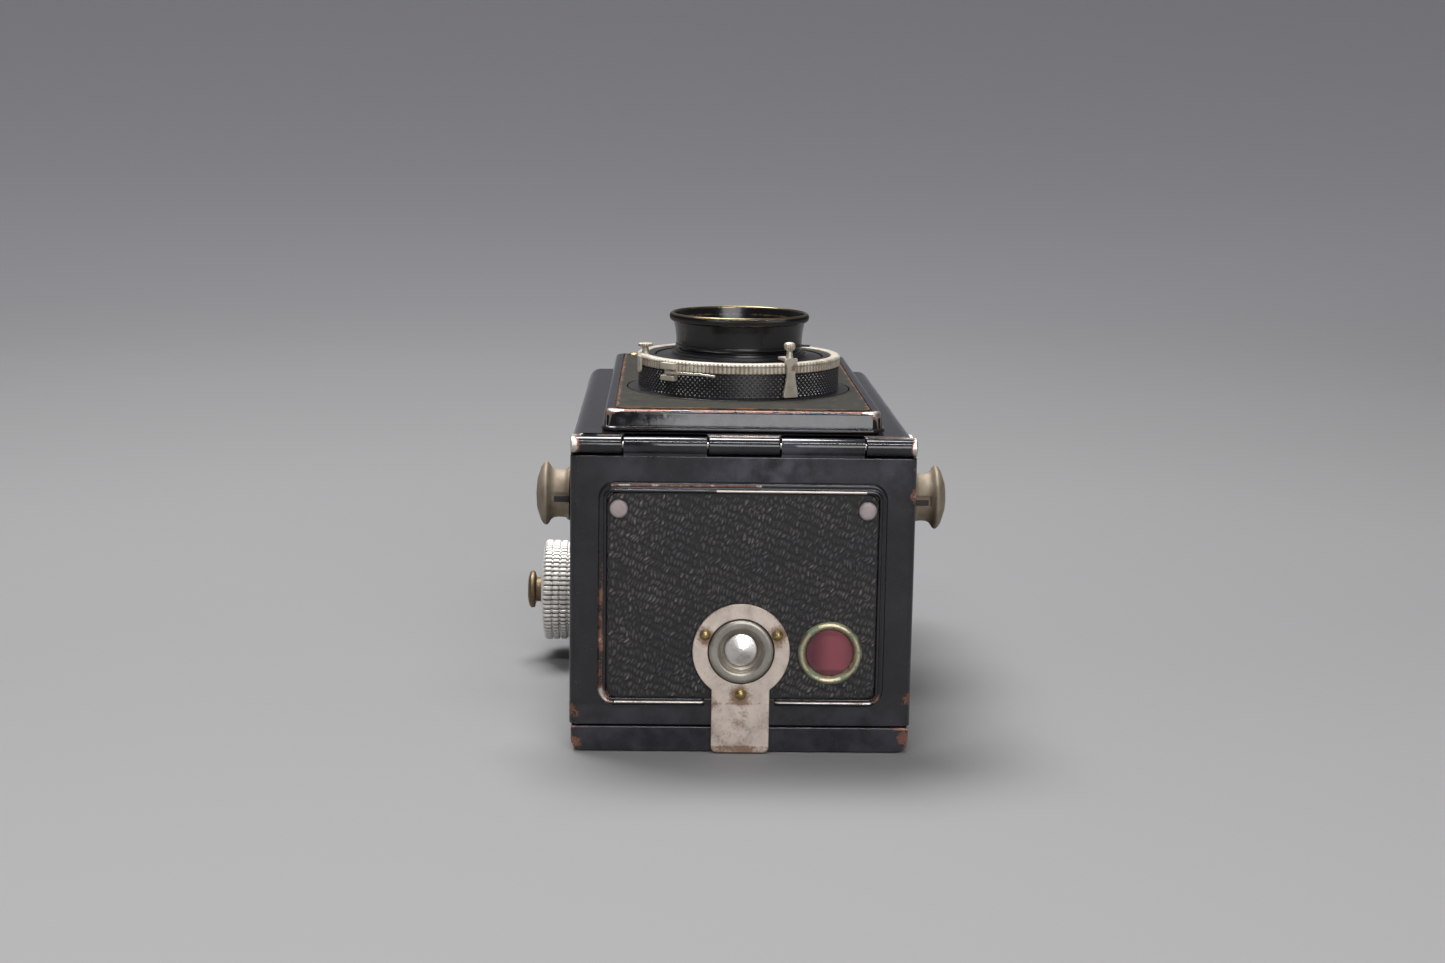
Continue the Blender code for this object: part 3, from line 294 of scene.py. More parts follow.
def cut(obj, *cutters):
    """Cut closed meshes out of a piece, and bake the result into its mesh."""
    for cutter in cutters:
        modifier = obj.modifiers.new("cut", "BOOLEAN")
        modifier.object = cutter
        modifier.solver = "EXACT"
    bpy.context.view_layer.update()
    baked = bpy.data.meshes.new_from_object(obj.evaluated_get(bpy.context.evaluated_depsgraph_get()))
    obj.modifiers.clear()
    obj.data = baked
    baked.set_sharp_from_angle(angle=math.radians(38.0))
    for cutter in cutters:
        bpy.data.objects.remove(cutter)
    return obj


def add(body, slot, material, *objs, stands_for=()):
    """Hang finished pieces on a body with their material. slot is not used."""
    for obj in objs:
        obj.data.materials.clear()
        obj.data.materials.append(material)
        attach(obj, body)
    if stands_for:
        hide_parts(*stands_for)
    return objs[0]


# ---------------------------------------------------------------- material recipes
class Finish:
    """Strings shader nodes together for one material. Coordinates are the row frame at rest, in mm."""

    def __init__(self, name, colour=(0.1, 0.1, 0.1), roughness=0.4, metallic=0.0):
        self.material = bpy.data.materials.new(name)
        self.material.use_nodes = True
        self.tree = self.material.node_tree
        self.shader = self.tree.nodes["Principled BSDF"]
        self.set("Base Color", colour)
        self.set("Roughness", roughness)
        self.set("Metallic", metallic)
        self.material.diffuse_color = (*colour, 1.0)
        self.material.roughness = roughness
        self.material.metallic = metallic
        self.place = self.vector("MULTIPLY", self.add("ShaderNodeTexCoord").outputs["Object"], (1000,) * 3)

    def add(self, kind, **settings):
        node = self.tree.nodes.new(kind)
        for key, value in settings.items():
            setattr(node, key, value)
        return node

    def feed(self, socket, value):
        if isinstance(value, bpy.types.NodeSocket):
            self.tree.links.new(value, socket)
        elif socket.type == "RGBA":
            socket.default_value = (*value, 1.0)
        else:
            socket.default_value = value

    def set(self, name, value):
        self.feed(self.shader.inputs[name], value)

    def node(self, kind, inputs, output=0, **settings):
        """Output of a new node whose inputs, named or numbered, are fed with values or sockets."""
        node = self.add(kind, **settings)
        for key, value in inputs.items():
            self.feed(node.inputs[key], value)
        return node.outputs[output]

    def math(self, operation, a, b=0.0, clamp=False):
        return self.node("ShaderNodeMath", {0: a, 1: b}, operation=operation, use_clamp=clamp)

    def times(self, a, b):
        return self.math("MULTIPLY", a, b)

    def plus(self, *parts):
        result = parts[0]
        for part in parts[1:]:
            result = self.math("ADD", result, part)
        return result

    def sway(self, value, amount):
        """A pattern that swings about 0 instead of a half, scaled."""
        return self.times(self.math("SUBTRACT", value, 0.5), amount)

    def vector(self, operation, a, b):
        output = "Value" if operation in ("DOT_PRODUCT", "DISTANCE", "LENGTH") else "Vector"
        return self.node("ShaderNodeVectorMath", {0: a, 1: b}, output, operation=operation)

    def attribute(self, name):
        return self.add("ShaderNodeAttribute", attribute_name=name).outputs["Fac"]

    def noise(self, per_mm, detail=3.0, place=None, stretch=None):
        place = place or self.place
        if stretch:
            place = self.vector("MULTIPLY", place, stretch)
        settings = {"Vector": place, "Scale": per_mm, "Detail": detail, "Roughness": 0.55}
        return self.node("ShaderNodeTexNoise", settings, "Fac")

    def cells(self, per_mm):
        return self.node("ShaderNodeTexVoronoi", {"Vector": self.place, "Scale": per_mm}, "Distance")

    def turned(self, degrees, axis, stretch):
        """The coordinates turned and then stretched, for slanted or brushed patterns."""
        inputs = {"Vector": self.place, "Axis": axis, "Angle": math.radians(degrees)}
        turned = self.node("ShaderNodeVectorRotate", inputs, rotation_type="AXIS_ANGLE")
        return self.vector("MULTIPLY", turned, stretch)

    def ramp(self, value, low, high, smoothly=True):
        """0 below low and 1 above high; low may be above high."""
        inputs = {"Value": value, "From Min": low, "From Max": high}
        kind = "SMOOTHSTEP" if smoothly else "LINEAR"
        return self.node("ShaderNodeMapRange", inputs, "Result", interpolation_type=kind)

    def blend(self, factor, a, b):
        return self.node("ShaderNodeMix", {"Factor": factor, 6: a, 7: b}, 2, data_type="RGBA")

    def mix(self, factor, a, b):
        return self.node("ShaderNodeMix", {"Factor": factor, 2: a, 3: b}, data_type="FLOAT")

    def bump(self, height, depth_mm):
        inputs = {"Strength": 1.0, "Distance": depth_mm * MM, "Height": height}
        previous = self.shader.inputs["Normal"].links
        if previous:
            inputs["Normal"] = previous[0].from_socket
        self.set("Normal", self.node("ShaderNodeBump", inputs))

    def edges(self, radius_mm):
        """About 1 on a square edge, falling to 0 a radius away from it."""
        bevelled = self.node("ShaderNodeBevel", {"Radius": radius_mm * MM}, samples=6)
        normal = self.add("ShaderNodeNewGeometry").outputs["Normal"]
        turn = self.vector("DOT_PRODUCT", bevelled, normal)
        return self.math("MULTIPLY", self.math("SUBTRACT", 1.0, turn), 3.4, clamp=True)

    def near(self, centre, radius):
        """1 at a place, falling to 0 at a radius from it."""
        return self.ramp(self.vector("DISTANCE", self.place, tuple(centre)), radius, 0.0)

    def zone(self, x, y, z, soft=1.5):
        """1 inside a block of space, fading over a soft border."""
        parts = self.add("ShaderNodeSeparateXYZ")
        self.feed(parts.inputs[0], self.place)
        result = None
        for socket, span in zip(parts.outputs, (x, y, z)):
            if span is None:
                continue
            rise = self.ramp(socket, span[0] - soft, span[0])
            fall = self.ramp(socket, span[1] + soft, span[1])
            inside = self.times(rise, fall)
            result = inside if result is None else self.times(result, inside)
        return result

    def masks(self, places):
        """Scaled masks of (mask maker, amount) pairs."""
        return [self.times(mask(self), strength) for mask, strength in places]


COPPER = (0.27, 0.115, 0.075)
BARE = (0.62, 0.57, 0.53)


def shade(colour, factor):
    return tuple(c * factor for c in colour)


def enamel(name, wear=0.0, worn_places=(), edge=0.6, painted_reflections=()):
    """Gloss black stove enamel: cloudy, dusty, and rubbed through to copper and bare metal at its edges.
    worn_places and painted_reflections hold (mask maker, amount) pairs. worn_places rub the enamel through,
    and on the bead and the board some of them are painted highlight lines; a painted reflection is a pale
    bluish sheen painted on the gloss."""
    colour = (0.0098, 0.0097, 0.0118)
    f = Finish(name, colour, 0.2)
    cloud = f.noise(0.07, 3)
    smudge = f.noise(0.45, 5)
    grit = f.noise(2.6, 4)
    worn = f.plus(f.times(f.edges(edge), 0.85), f.sway(cloud, 0.9), f.sway(smudge, 0.9), f.sway(grit, 0.6),
                  *f.masks(worn_places), wear)
    copper = f.ramp(worn, 0.70, 0.76)
    bare = f.ramp(worn, 0.95, 1.06)
    dust = f.times(f.ramp(f.cells(1.1), 0.10, 0.04), f.ramp(f.noise(0.22, 2), 0.50, 0.64))
    scratch = f.noise(1.6, 2, f.turned(28, (0, 1, 0), (1.0, 1.0, 16.0)))
    scratch = f.times(f.ramp(scratch, 0.71, 0.76), f.ramp(f.noise(0.12, 2), 0.5, 0.6))
    coat = f.blend(cloud, shade(colour, 0.8), shade(colour, 1.5))
    # Random pale bluish patches on the gloss; the painted reflections added below are a painted sheen where
    # the gloss would mirror bright surroundings.
    bloom_and_painted_reflection = f.times(f.ramp(f.noise(0.10, 4), 0.42, 0.72), 0.10)
    patchy = f.ramp(f.noise(0.16, 4), 0.30, 0.66)
    # Painted reflections: pale bluish sheen painted in where the gloss mirrors bright surroundings.
    for haze in f.masks(painted_reflections):
        bloom_and_painted_reflection = f.plus(bloom_and_painted_reflection, f.times(haze, patchy))
    coat = f.blend(bloom_and_painted_reflection, coat, (0.080, 0.079, 0.102))
    coat = f.blend(f.times(dust, 0.5), coat, (0.30, 0.29, 0.28))
    coat = f.blend(f.times(scratch, 0.45), coat, (0.32, 0.27, 0.24))
    tint = f.blend(smudge, COPPER, shade(COPPER, 0.45))
    f.set("Base Color", f.blend(bare, f.blend(copper, coat, tint), BARE))
    f.set("Metallic", f.math("MAXIMUM", f.times(copper, 0.4), bare))
    gloss = f.mix(f.ramp(smudge, 0.35, 0.75), 0.06, 0.15)
    f.set("Roughness", f.mix(copper, gloss, 0.42))
    f.bump(f.noise(0.35, 2), 0.02)
    f.bump(f.math("SUBTRACT", 1.0, copper), 0.03)
    return f.material


def leather(name):
    """Black leathercloth: the grain's crests lighter grey-brown, rubbed wear and painted light together, the
    highest with a painted glint; its creases darker, painted shade.
    """
    f = Finish(name, (0.012, 0.0115, 0.0125), 0.5)
    cloud = f.noise(0.09, 3)
    rubbed = f.plus(f.attribute("grain"), f.sway(f.noise(3.6, 4), 0.8), f.sway(cloud, 0.45))
    # Painted light on the grain: lighter crests (also rubbed wear), darker creases as painted shade, and pale
    # grey painted glints on the highest crests.
    crest_wear_and_light = f.ramp(rubbed, 0.16, 0.60)
    painted_glint = f.ramp(rubbed, 0.74, 0.92)
    dry = f.blend(f.ramp(cloud, 0.35, 0.65), (0.038, 0.035, 0.039), (0.050, 0.043, 0.040))
    worn = f.blend(painted_glint, f.blend(crest_wear_and_light, (0.0075, 0.007, 0.0085), dry), (0.17, 0.16, 0.16))
    f.set("Base Color", worn)
    f.set("Roughness", f.mix(painted_glint, f.mix(crest_wear_and_light, 0.6, 0.42), 0.28))
    f.bump(f.noise(6.0, 3), 0.05)
    return f.material


def nickel(name, colour=(0.60, 0.56, 0.49), roughness=0.36, stain=0.5, worn_places=(), shine=0.86, rim=0.12):
    """Tarnished nickel plate: pale and slightly pink, clouded, with brown stains and fine scratches."""
    f = Finish(name, colour, roughness, 1.0)
    cloud = f.noise(0.3, 5)
    plating = f.blend(f.ramp(cloud, 0.3, 0.75), colour, shade(colour, 0.72))
    total = f.plus(f.sway(f.noise(2.0, 5), 1.0), f.math("SUBTRACT", cloud, 0.5), *f.masks(worn_places),
                   f.times(f.edges(0.7), rim), f.times(f.attribute("hollow"), 0.42), stain - 0.5)
    spoiled = f.ramp(total, 0.18, 0.62, False)
    freckle = f.times(f.ramp(f.noise(1.4, 6), 0.60, 0.74), 0.5)
    plating = f.blend(freckle, plating, (0.30, 0.20, 0.13))
    f.set("Base Color", f.blend(f.times(spoiled, 0.85), plating, (0.20, 0.105, 0.055)))
    f.set("Metallic", f.mix(spoiled, shine, 0.3))
    scratch = f.noise(2.4, 3, stretch=(1.0, 1.0, 7.0))
    f.set("Roughness", f.mix(spoiled, f.mix(scratch, roughness - 0.08, roughness + 0.12), 0.6))
    f.bump(f.noise(1.0, 3), 0.02)
    f.bump(scratch, 0.008)
    return f.material


def brass(name, colour=(0.42, 0.31, 0.15), roughness=0.38, patina=(0.12, 0.11, 0.06), amount=0.5):
    """Aged brass clouded with a dark or green patina."""
    f = Finish(name, colour, roughness, 1.0)
    clouded = f.plus(f.noise(0.6, 5), f.times(f.noise(3.5, 4), 0.4))
    old = f.ramp(clouded, 0.95 - amount * 0.5, 1.05 - amount * 0.5)
    f.set("Base Color", f.blend(old, colour, patina))
    f.set("Metallic", f.mix(old, 1.0, 0.35))
    f.set("Roughness", f.mix(old, roughness, 0.62))
    f.bump(f.noise(2.5, 4), 0.015)
    return f.material


def alloy(name):
    """Bright turned alloy with dirt between its ribs."""
    colour = (0.93, 0.90, 0.86)
    f = Finish(name, colour, 0.4, 1.0)
    cloud = f.noise(0.4, 4)
    grime = f.ramp(f.plus(f.attribute("hollow"), f.sway(cloud, 0.8)), 0.45, 0.95)
    clean = f.blend(cloud, colour, shade(colour, 0.8))
    f.set("Base Color", f.blend(grime, clean, (0.16, 0.125, 0.085)))
    f.set("Roughness", f.mix(grime, f.mix(f.noise(1.5, 4), 0.34, 0.5), 0.65))
    f.set("Metallic", f.mix(grime, 0.45, 0.2))
    f.bump(f.noise(2.2, 4), 0.008)
    return f.material


def lacquer(name, wear=0.0, worn_places=(), roughness=0.30, colour=(0.0095, 0.009, 0.0105),
            under=(0.36, 0.25, 0.12)):
    """Satin black lacquer on brass, rubbed to dull brass at edges and brown where thin; a knurl's hollows are
    painted near black as shade.
    """
    f = Finish(name, colour, roughness)
    cloud = f.noise(0.3, 4)
    smudge = f.noise(1.3, 5)
    hollow = f.attribute("hollow")
    worn = f.plus(f.times(f.edges(0.35), 0.75), f.times(hollow, -0.55), f.sway(cloud, 0.9),
                  f.sway(smudge, 0.9), *f.masks(worn_places), wear)
    thin = f.ramp(worn, 0.50, 0.72)
    brassy = f.ramp(worn, 0.70, 0.82)
    # Painted shade: a knurl's hollows are painted near black.
    black = f.blend(hollow, f.blend(cloud, colour, shade(colour, 1.6)), (0.002, 0.002, 0.002))
    f.set("Base Color", f.blend(brassy, f.blend(thin, black, (0.085, 0.052, 0.026)), under))
    f.set("Metallic", f.mix(brassy, 0.1, 0.95))
    f.set("Roughness", f.mix(smudge, roughness - 0.1, roughness + 0.14))
    f.bump(f.noise(1.6, 4), 0.014)
    return f.material


def panel_paint(name, borders):
    """Dark green-grey crinkle paint with orange-brown primer along its rim. borders holds (x, y) limits."""
    f = Finish(name, (0.030, 0.032, 0.029), 0.6)
    cloud = f.noise(0.12, 4)
    smudge = f.noise(0.8, 5)
    parts = f.add("ShaderNodeSeparateXYZ")
    f.feed(parts.inputs[0], f.place)
    margin = None
    for socket, (low, high) in zip(parts.outputs, borders):
        for distance in (f.math("SUBTRACT", socket, low), f.math("SUBTRACT", high, socket)):
            margin = distance if margin is None else f.math("MINIMUM", margin, distance)
    ragged = f.plus(margin, f.sway(smudge, -2.2))
    primer = f.times(f.ramp(ragged, 0.75, 0.20), f.ramp(f.noise(0.3, 4), 0.38, 0.62))
    paint = f.blend(cloud, (0.008, 0.009, 0.007), (0.027, 0.024, 0.016))
    paint = f.blend(f.times(f.ramp(smudge, 0.50, 0.70), 0.5), paint, (0.070, 0.055, 0.034))
    f.set("Base Color", f.blend(primer, paint, (0.17, 0.075, 0.035)))
    f.set("Roughness", f.mix(smudge, 0.48, 0.72))
    f.set("Specular IOR Level", 0.22)
    f.bump(f.noise(3.0, 3), 0.08)
    f.bump(f.cells(2.6), 0.02)
    return f.material


def ruby(name, centre):
    """Old red celluloid: dull, with a paler upright band that is a painted reflection, darker at its lower
    rim.
    """
    f = Finish(name, (0.10, 0.018, 0.032), 0.22)
    # Painted reflection: a paler upright band just right of the window's centre.
    band = f.zone((centre[0] + 0.6, centre[0] + 2.2), None, None, 4.6)
    foot = f.zone(None, None, (centre[2] - 6.0, centre[2] - 4.4), 0.7)
    haze = f.noise(0.5, 4)
    tint = f.blend(f.times(band, 0.9), (0.085, 0.016, 0.028), (0.27, 0.060, 0.080))
    tint = f.blend(f.times(haze, 0.3), tint, (0.16, 0.06, 0.07))
    f.set("Base Color", f.blend(f.times(foot, 0.6), tint, (0.035, 0.010, 0.016)))
    f.set("Roughness", f.mix(haze, 0.16, 0.3))
    f.bump(f.noise(0.3, 2), 0.02)
    return f.material


def glass(name):
    """Coated lens glass, faintly violet, with a little dust."""
    f = Finish(name, (0.85, 0.88, 0.93), 0.02)
    f.set("Transmission Weight", 1.0)
    f.set("IOR", 1.5)
    dust = f.ramp(f.cells(1.4), 0.07, 0.03)
    f.set("Roughness", f.mix(dust, 0.02, 0.5))
    f.set("Coat Weight", 0.4)
    f.set("Coat Tint", (0.75, 0.7, 1.0))
    return f.material


def ground(name):
    """Finely ground focusing screen, milky, with a faint grain."""
    f = Finish(name, (0.62, 0.65, 0.64), 0.55)
    f.set("Transmission Weight", 0.6)
    grain = f.noise(6.0, 3)
    f.set("Roughness", f.mix(grain, 0.45, 0.7))
    f.bump(grain, 0.01)
    return f.material


def mirror_silver(name):
    """First-surface mirror, slightly foxed towards its rim."""
    f = Finish(name, (0.86, 0.87, 0.88), 0.04, 1.0)
    fox = f.ramp(f.plus(f.noise(0.25, 5), f.times(f.edges(1.5), 0.25)), 0.62, 0.75)
    f.set("Base Color", f.blend(fox, (0.86, 0.87, 0.88), (0.35, 0.3, 0.24)))
    f.set("Roughness", f.mix(fox, 0.04, 0.4))
    return f.material


def spring_steel(name):
    """Blued spring steel with brushed streaks."""
    f = Finish(name, (0.20, 0.21, 0.24), 0.34, 1.0)
    streak = f.noise(0.9, 4, stretch=(8.0, 1.0, 1.0))
    f.set("Base Color", f.blend(streak, (0.17, 0.18, 0.22), (0.30, 0.29, 0.28)))
    f.set("Roughness", f.mix(streak, 0.26, 0.42))
    f.bump(streak, 0.006)
    return f.material


def polished(name, centre):
    """Turned disc with a wheel of fine marks, which throws radial streaks of light."""
    f = Finish(name, (0.80, 0.79, 0.76), 0.2, 1.0)
    shift = f.vector("SUBTRACT", f.place, tuple(centre))
    reach = f.vector("LENGTH", shift, (0, 0, 0))
    wave = f.math("SINE", f.times(reach, 34.0))
    cloud = f.noise(0.6, 4)
    f.set("Anisotropic", 0.9)
    f.set("Tangent", f.add("ShaderNodeTangent", direction_type="RADIAL", axis="Y").outputs[0])
    f.set("Roughness", f.mix(cloud, 0.16, 0.3))
    f.set("Base Color", f.blend(f.ramp(cloud, 0.4, 0.8), (0.84, 0.82, 0.79), (0.55, 0.50, 0.44)))
    f.bump(wave, 0.004)
    return f.material


# ---------------------------------------------------------------- dressing nodes
GROUPS = frame["record"]["behaviour"]["bodies"]
BODY_OF = {node: body for body, nodes in GROUPS.items() for node in nodes}
SLOT_OF = {row["node"]: row["material_slot"] for row in frame["record"]["subparts"]}


def dress(node, material, *objs):
    """Put finished pieces in a CAD node's place."""
    add(BODY_OF[node], SLOT_OF[node], material, *objs, stands_for=(node,))


def keep_shape(node, material, width=0.15, segments=2):
    """The node's own shape with softened edges."""
    dress(node, material, refined(node, width, segments))


def turn(obj, degrees):
    """Turn a piece's mesh about the taking lens's axis."""
    centre = Matrix.Translation(Vector((LENS[0], LENS[1], 0)) * MM)
    obj.data.transform(centre @ Matrix.Rotation(math.radians(degrees), 4, "Z") @ centre.inverted())
    return obj


def block(name, x, y, z, edge=0.2):
    outline = [(x[0], y[0]), (x[1], y[0]), (x[1], y[1]), (x[0], y[1])]
    return plate(name, "Z", outline, z, edge)


def tube(name, axis, centre, radii, span):
    inner, outer = radii
    low, high = span
    return lathe(name, axis, centre, [(inner, low), (outer, low), (outer, high), (inner, high)])


def rod(name, axis, centre, radius, span, segments=64):
    low, high = span
    profile = [(0, low), (radius, low), (radius, high), (0, high)]
    return lathe(name, axis, centre, profile, segments, rounding=0.0)


def curved_strip(name, centre, stations):
    """A bar bent round an axis along z; stations hold (bearing, inner, outer, low, high)."""
    points = []
    for bearing, inner, outer, low, high in stations:
        angle = math.radians(bearing - 90)
        for radius, z in ((inner, low), (outer, low), (outer, high), (inner, high)):
            points.append((centre[0] + radius * math.cos(angle), centre[1] + radius * math.sin(angle), z))
    count = len(stations)
    faces = ring_faces(count, 4, False) + [(0, 1, 2, 3), tuple(4 * (count - 1) + i for i in range(4))]
    obj = make_object(name, np.array(points) * MM, faces)
    return bevel(obj, 0.12, 2)


def spread(first, last, steps):
    """Stations between two, as (bearing, inner, outer, low, high)."""
    return [tuple(a + (b - a) * i / steps for a, b in zip(first, last)) for i in range(steps + 1)]


# ---------------------------------------------------------------- leathercloth
LEATHER_CORNER = 2.7


def pebbles(a, b, seed):
    """Height (0 to 1) of a grain of slanted pebbles at coordinates a and b in mm."""
    long, wide, lean = 1.9, 0.78, math.radians(68.0)
    table = 128
    rng = np.random.default_rng(seed)
    jitter = rng.random((table, table, 3))
    bend = 0.6 * np.sin(a * 0.9 + 1.7 * np.sin(b * 0.7)) + 0.5 * np.sin(b * 1.3 + a * 0.35)
    p = (a * math.cos(lean) + b * math.sin(lean)) / long
    q = (-a * math.sin(lean) + b * math.cos(lean)) / wide + bend * 0.5
    cell_p = np.floor(p).astype(int)
    cell_q = np.floor(q).astype(int)
    nearest = np.full(a.shape, 9.0)
    second = np.full(a.shape, 9.0)
    lift = np.zeros(a.shape)
    for dp, dq in itertools.product((-1, 0, 1), repeat=2):
        i = cell_p + dp
        j = cell_q + dq
        seeds = jitter[i % table, j % table]
        distance = np.hypot(i + 0.15 + 0.7 * seeds[..., 0] - p, j + 0.15 + 0.7 * seeds[..., 1] - q)
        closer = distance < nearest
        second = np.where(closer, nearest, np.minimum(second, distance))
        lift = np.where(closer, seeds[..., 2], lift)
        nearest = np.where(closer, distance, nearest)
    ridge = smooth((second - nearest) / 0.55)
    dome = np.clip(1.0 - nearest * 0.75, 0, 1)
    return ridge * dome * (0.35 + 0.65 * lift)


def hide(name, axis, a_span, b_span, base, top, seed, holes=(), spacing=0.5, relief=0.26):
    """A sheet of leathercloth with rounded corners, holes given as (a, b, radius), and raised grain.
    The grain rises from top, whose side of base tells which way it faces."""
    count_a = math.ceil((a_span[1] - a_span[0]) / spacing)
    count_b = math.ceil((b_span[1] - b_span[0]) / spacing)
    a, b = np.meshgrid(np.linspace(*a_span, count_a + 1), np.linspace(*b_span, count_b + 1), indexing="ij")
    a, b = round_corners(a, b, a_span, b_span, LEATHER_CORNER)
    inside = np.ones(a.shape, bool)
    for hole in holes:
        inside &= np.hypot(a - hole[0], b - hole[1]) > hole[2]
    grain = pebbles(a, b, seed)
    rim = np.minimum.reduce([a - a_span[0], a_span[1] - a, b - b_span[0], b_span[1] - b])
    fade = smooth(rim / 0.5)
    way = math.copysign(1.0, top - base)
    height = top + way * relief * (grain - 0.55) * fade - way * 0.12 * (1 - fade)
    upper = to_world(axis, a, b, height)
    lower = to_world(axis, a, b, np.full(a.shape, base))
    mesh = bpy.data.meshes.new(name)
    mesh.from_pydata(np.concatenate([upper, lower]).tolist(), [], sheet_faces(inside))
    layer = mesh.attributes.new("grain", "FLOAT", "POINT")
    values = np.concatenate([(grain * fade).ravel(), np.zeros(a.size)]).astype(np.float32)
    layer.data.foreach_set("value", values)
    loose = bmesh.new()
    loose.from_mesh(mesh)
    bmesh.ops.delete(loose, geom=[v for v in loose.verts if not v.link_faces], context="VERTS")
    loose.to_mesh(mesh)
    loose.free()
    return finish_mesh(name, mesh, 80.0)


def past_edge(value, span, radius):
    """The nearer corner's centre along one side of a grid, and how far each point lies beyond it."""
    first = value < sum(span) / 2
    near = np.where(first, span[0] + radius, span[1] - radius)
    return near, np.where(first, np.minimum(value - near, 0), np.maximum(value - near, 0))


def round_corners(a, b, a_span, b_span, radius):
    """Bend the square corners of a grid to arcs."""
    near_a, out_a = past_edge(a, a_span, radius)
    near_b, out_b = past_edge(b, b_span, radius)
    corner = (out_a != 0) & (out_b != 0)
    length = np.hypot(out_a, out_b)
    scale = np.where(corner, np.maximum(abs(out_a), abs(out_b)) / np.where(length > 0, length, 1), 1.0)
    return np.where(corner, near_a + out_a * scale, a), np.where(corner, near_b + out_b * scale, b)


def sheet_faces(inside):
    """Upper, lower and border quads of two stacked grids, skipping quads that touch a hole."""
    rows, columns = inside.shape
    kept = inside[:-1, :-1] & inside[1:, :-1] & inside[:-1, 1:] & inside[1:, 1:]
    lower = rows * columns
    faces = []
    edges = {}
    for r, c in zip(*np.nonzero(kept)):
        corner = [int(r * columns + c), int((r + 1) * columns + c),
                  int((r + 1) * columns + c + 1), int(r * columns + c + 1)]
        faces.append(tuple(corner))
        faces.append(tuple(lower + i for i in reversed(corner)))
        for start, end in zip(corner, corner[1:] + corner[:1]):
            if (end, start) in edges:
                del edges[(end, start)]
            else:
                edges[(start, end)] = True
    faces += [(end, start, lower + start, lower + end) for start, end in edges]
    return faces


# ---------------------------------------------------------------- places used by many pieces
FACE = limits("back_cover")[1][0]             # the base's outer face
LENS = middle("shutter_housing")
VIEW = middle("viewing_lens_tube")
LATCH = middle("tripod_bush")
WINDOW = middle("window_glass")
HINGE = joint_place("base_door_hinge")
DOOR_X, DOOR_Y, DOOR_Z = limits("base_door")
LEATHER_X, LEATHER_Y, LEATHER_Z = limits("base_leather")
BOARD_X, BOARD_Y, BOARD_Z = limits("lens_board")
STUDS = [middle("foot_stud_left"), middle("foot_stud_right")]


# ---------------------------------------------------------------- base door
BEAD_X = (-32.6, 32.6)
BEAD_Z = (11.0, 62.9)
BEAD_GAP = (-8.2, 7.8)
BEAD = ((0, 0), (0.22, 0.34), (0.5, 0.60), (0.8, 0.70), (1.05, 0.64), (1.25, 0.52), (1.5, 0.52), (1.7, 0.70),
        (1.95, 0.88), (2.2, 0.90), (2.45, 0.74), (2.65, 0.35), (2.75, -0.3), (0, -0.3))
DOOR_TOP = limits("base_hinge_pin")[2][0] - 1.55


def bead_path(inward):
    """The bead's run at one line of its section, as (x, z) from the right of the gap round to its left.
    The bead is widest along its top."""
    side = inward * 0.76
    left, right = BEAD_X[0] + side, BEAD_X[1] - side
    low, high = BEAD_Z[0] + side, BEAD_Z[1] - inward
    radius = max(4.0 - inward, 0.9)
    path = [(BEAD_GAP[1] + d, low) for d in (0, 0.12, 0.4, 0.8)]
    path += arc((right - radius, low + radius), radius, -90, 0, 10)
    path += arc((right - radius, high - radius), radius, 0, 90, 10)
    path += arc((left + radius, high - radius), radius, 90, 180, 10)
    path += arc((left + radius, low + radius), radius, 180, 270, 10)
    return path + [(BEAD_GAP[0] - d, low) for d in (0.8, 0.4, 0.12, 0)]


def make_bead():
    lines = soften(list(BEAD), 0.2, 3, closed=True)
    count = len(bead_path(0))
    taper = np.ones(count)
    taper[[0, 1, 2, -3, -2, -1]] = (0.35, 0.62, 0.88, 0.88, 0.62, 0.35)
    points = []
    for inward, height in lines:
        path = np.array(bead_path(inward))
        rise = np.where(height > 0, height * taper, height)
        points.append(to_world("Y", path[:, 0], path[:, 1], FACE - rise))
    faces = ring_faces(len(lines), count, True, False)
    for end in (0, count - 1):
        faces.append(tuple(line * count + end for line in range(len(lines))))
    return make_object("door_bead", np.concatenate(points), faces, 50)


def make_door_panel():
    outline = arc((DOOR_X[0] + 1.6, FACE + 1.6), 1.6, 180, 270, 8)
    outline += arc((DOOR_X[1] - 1.6, FACE + 1.6), 1.6, 270, 360, 8)
    outline += [(DOOR_X[1], DOOR_Y[1]), (DOOR_X[0], DOOR_Y[1])]
    panel = plate("base_door_look", "Z", outline, (DOOR_Z[0], DOOR_TOP), 0)
    x, z = (LEATHER_X[0] - 0.3, LEATHER_X[1] + 0.3), (LEATHER_Z[0] - 0.3, LEATHER_Z[1] + 0.3)
    pocket = plate("pocket", "Y", rounded(x, z, 3.0), (FACE - 2, FACE + 0.5), 0)
    inside = (DOOR_X[0] + 2.5, DOOR_X[1] - 2.5)
    hollow = block("hollow", inside, (FACE + 1.8, FACE + 5), (9, DOOR_TOP - 2.5), 0)
    through = (FACE - 4, FACE + 6)
    cut(panel, pocket, hollow, rod("c1", "Y", (LATCH[0], LATCH[2]), 5.8, through),
        rod("c2", "Y", (WINDOW[0], WINDOW[2]), 6.3, through))
    return bevel(panel, 0.28)


def make_door_barrels():
    barrels = []
    for side in (-1, 1):
        low, high = sorted((side * 8.35, side * 27.05))
        barrels.append(tube("door_barrel", "X", HINGE[1:], (1.1, 1.95), (low, high)))
        depth, rise = (FACE + 0.1, FACE + 2.3), (DOOR_TOP - 1, HINGE[2] - 1.0)
        barrels.append(block("door_web", (low, high), depth, rise, 0.1))
    return barrels


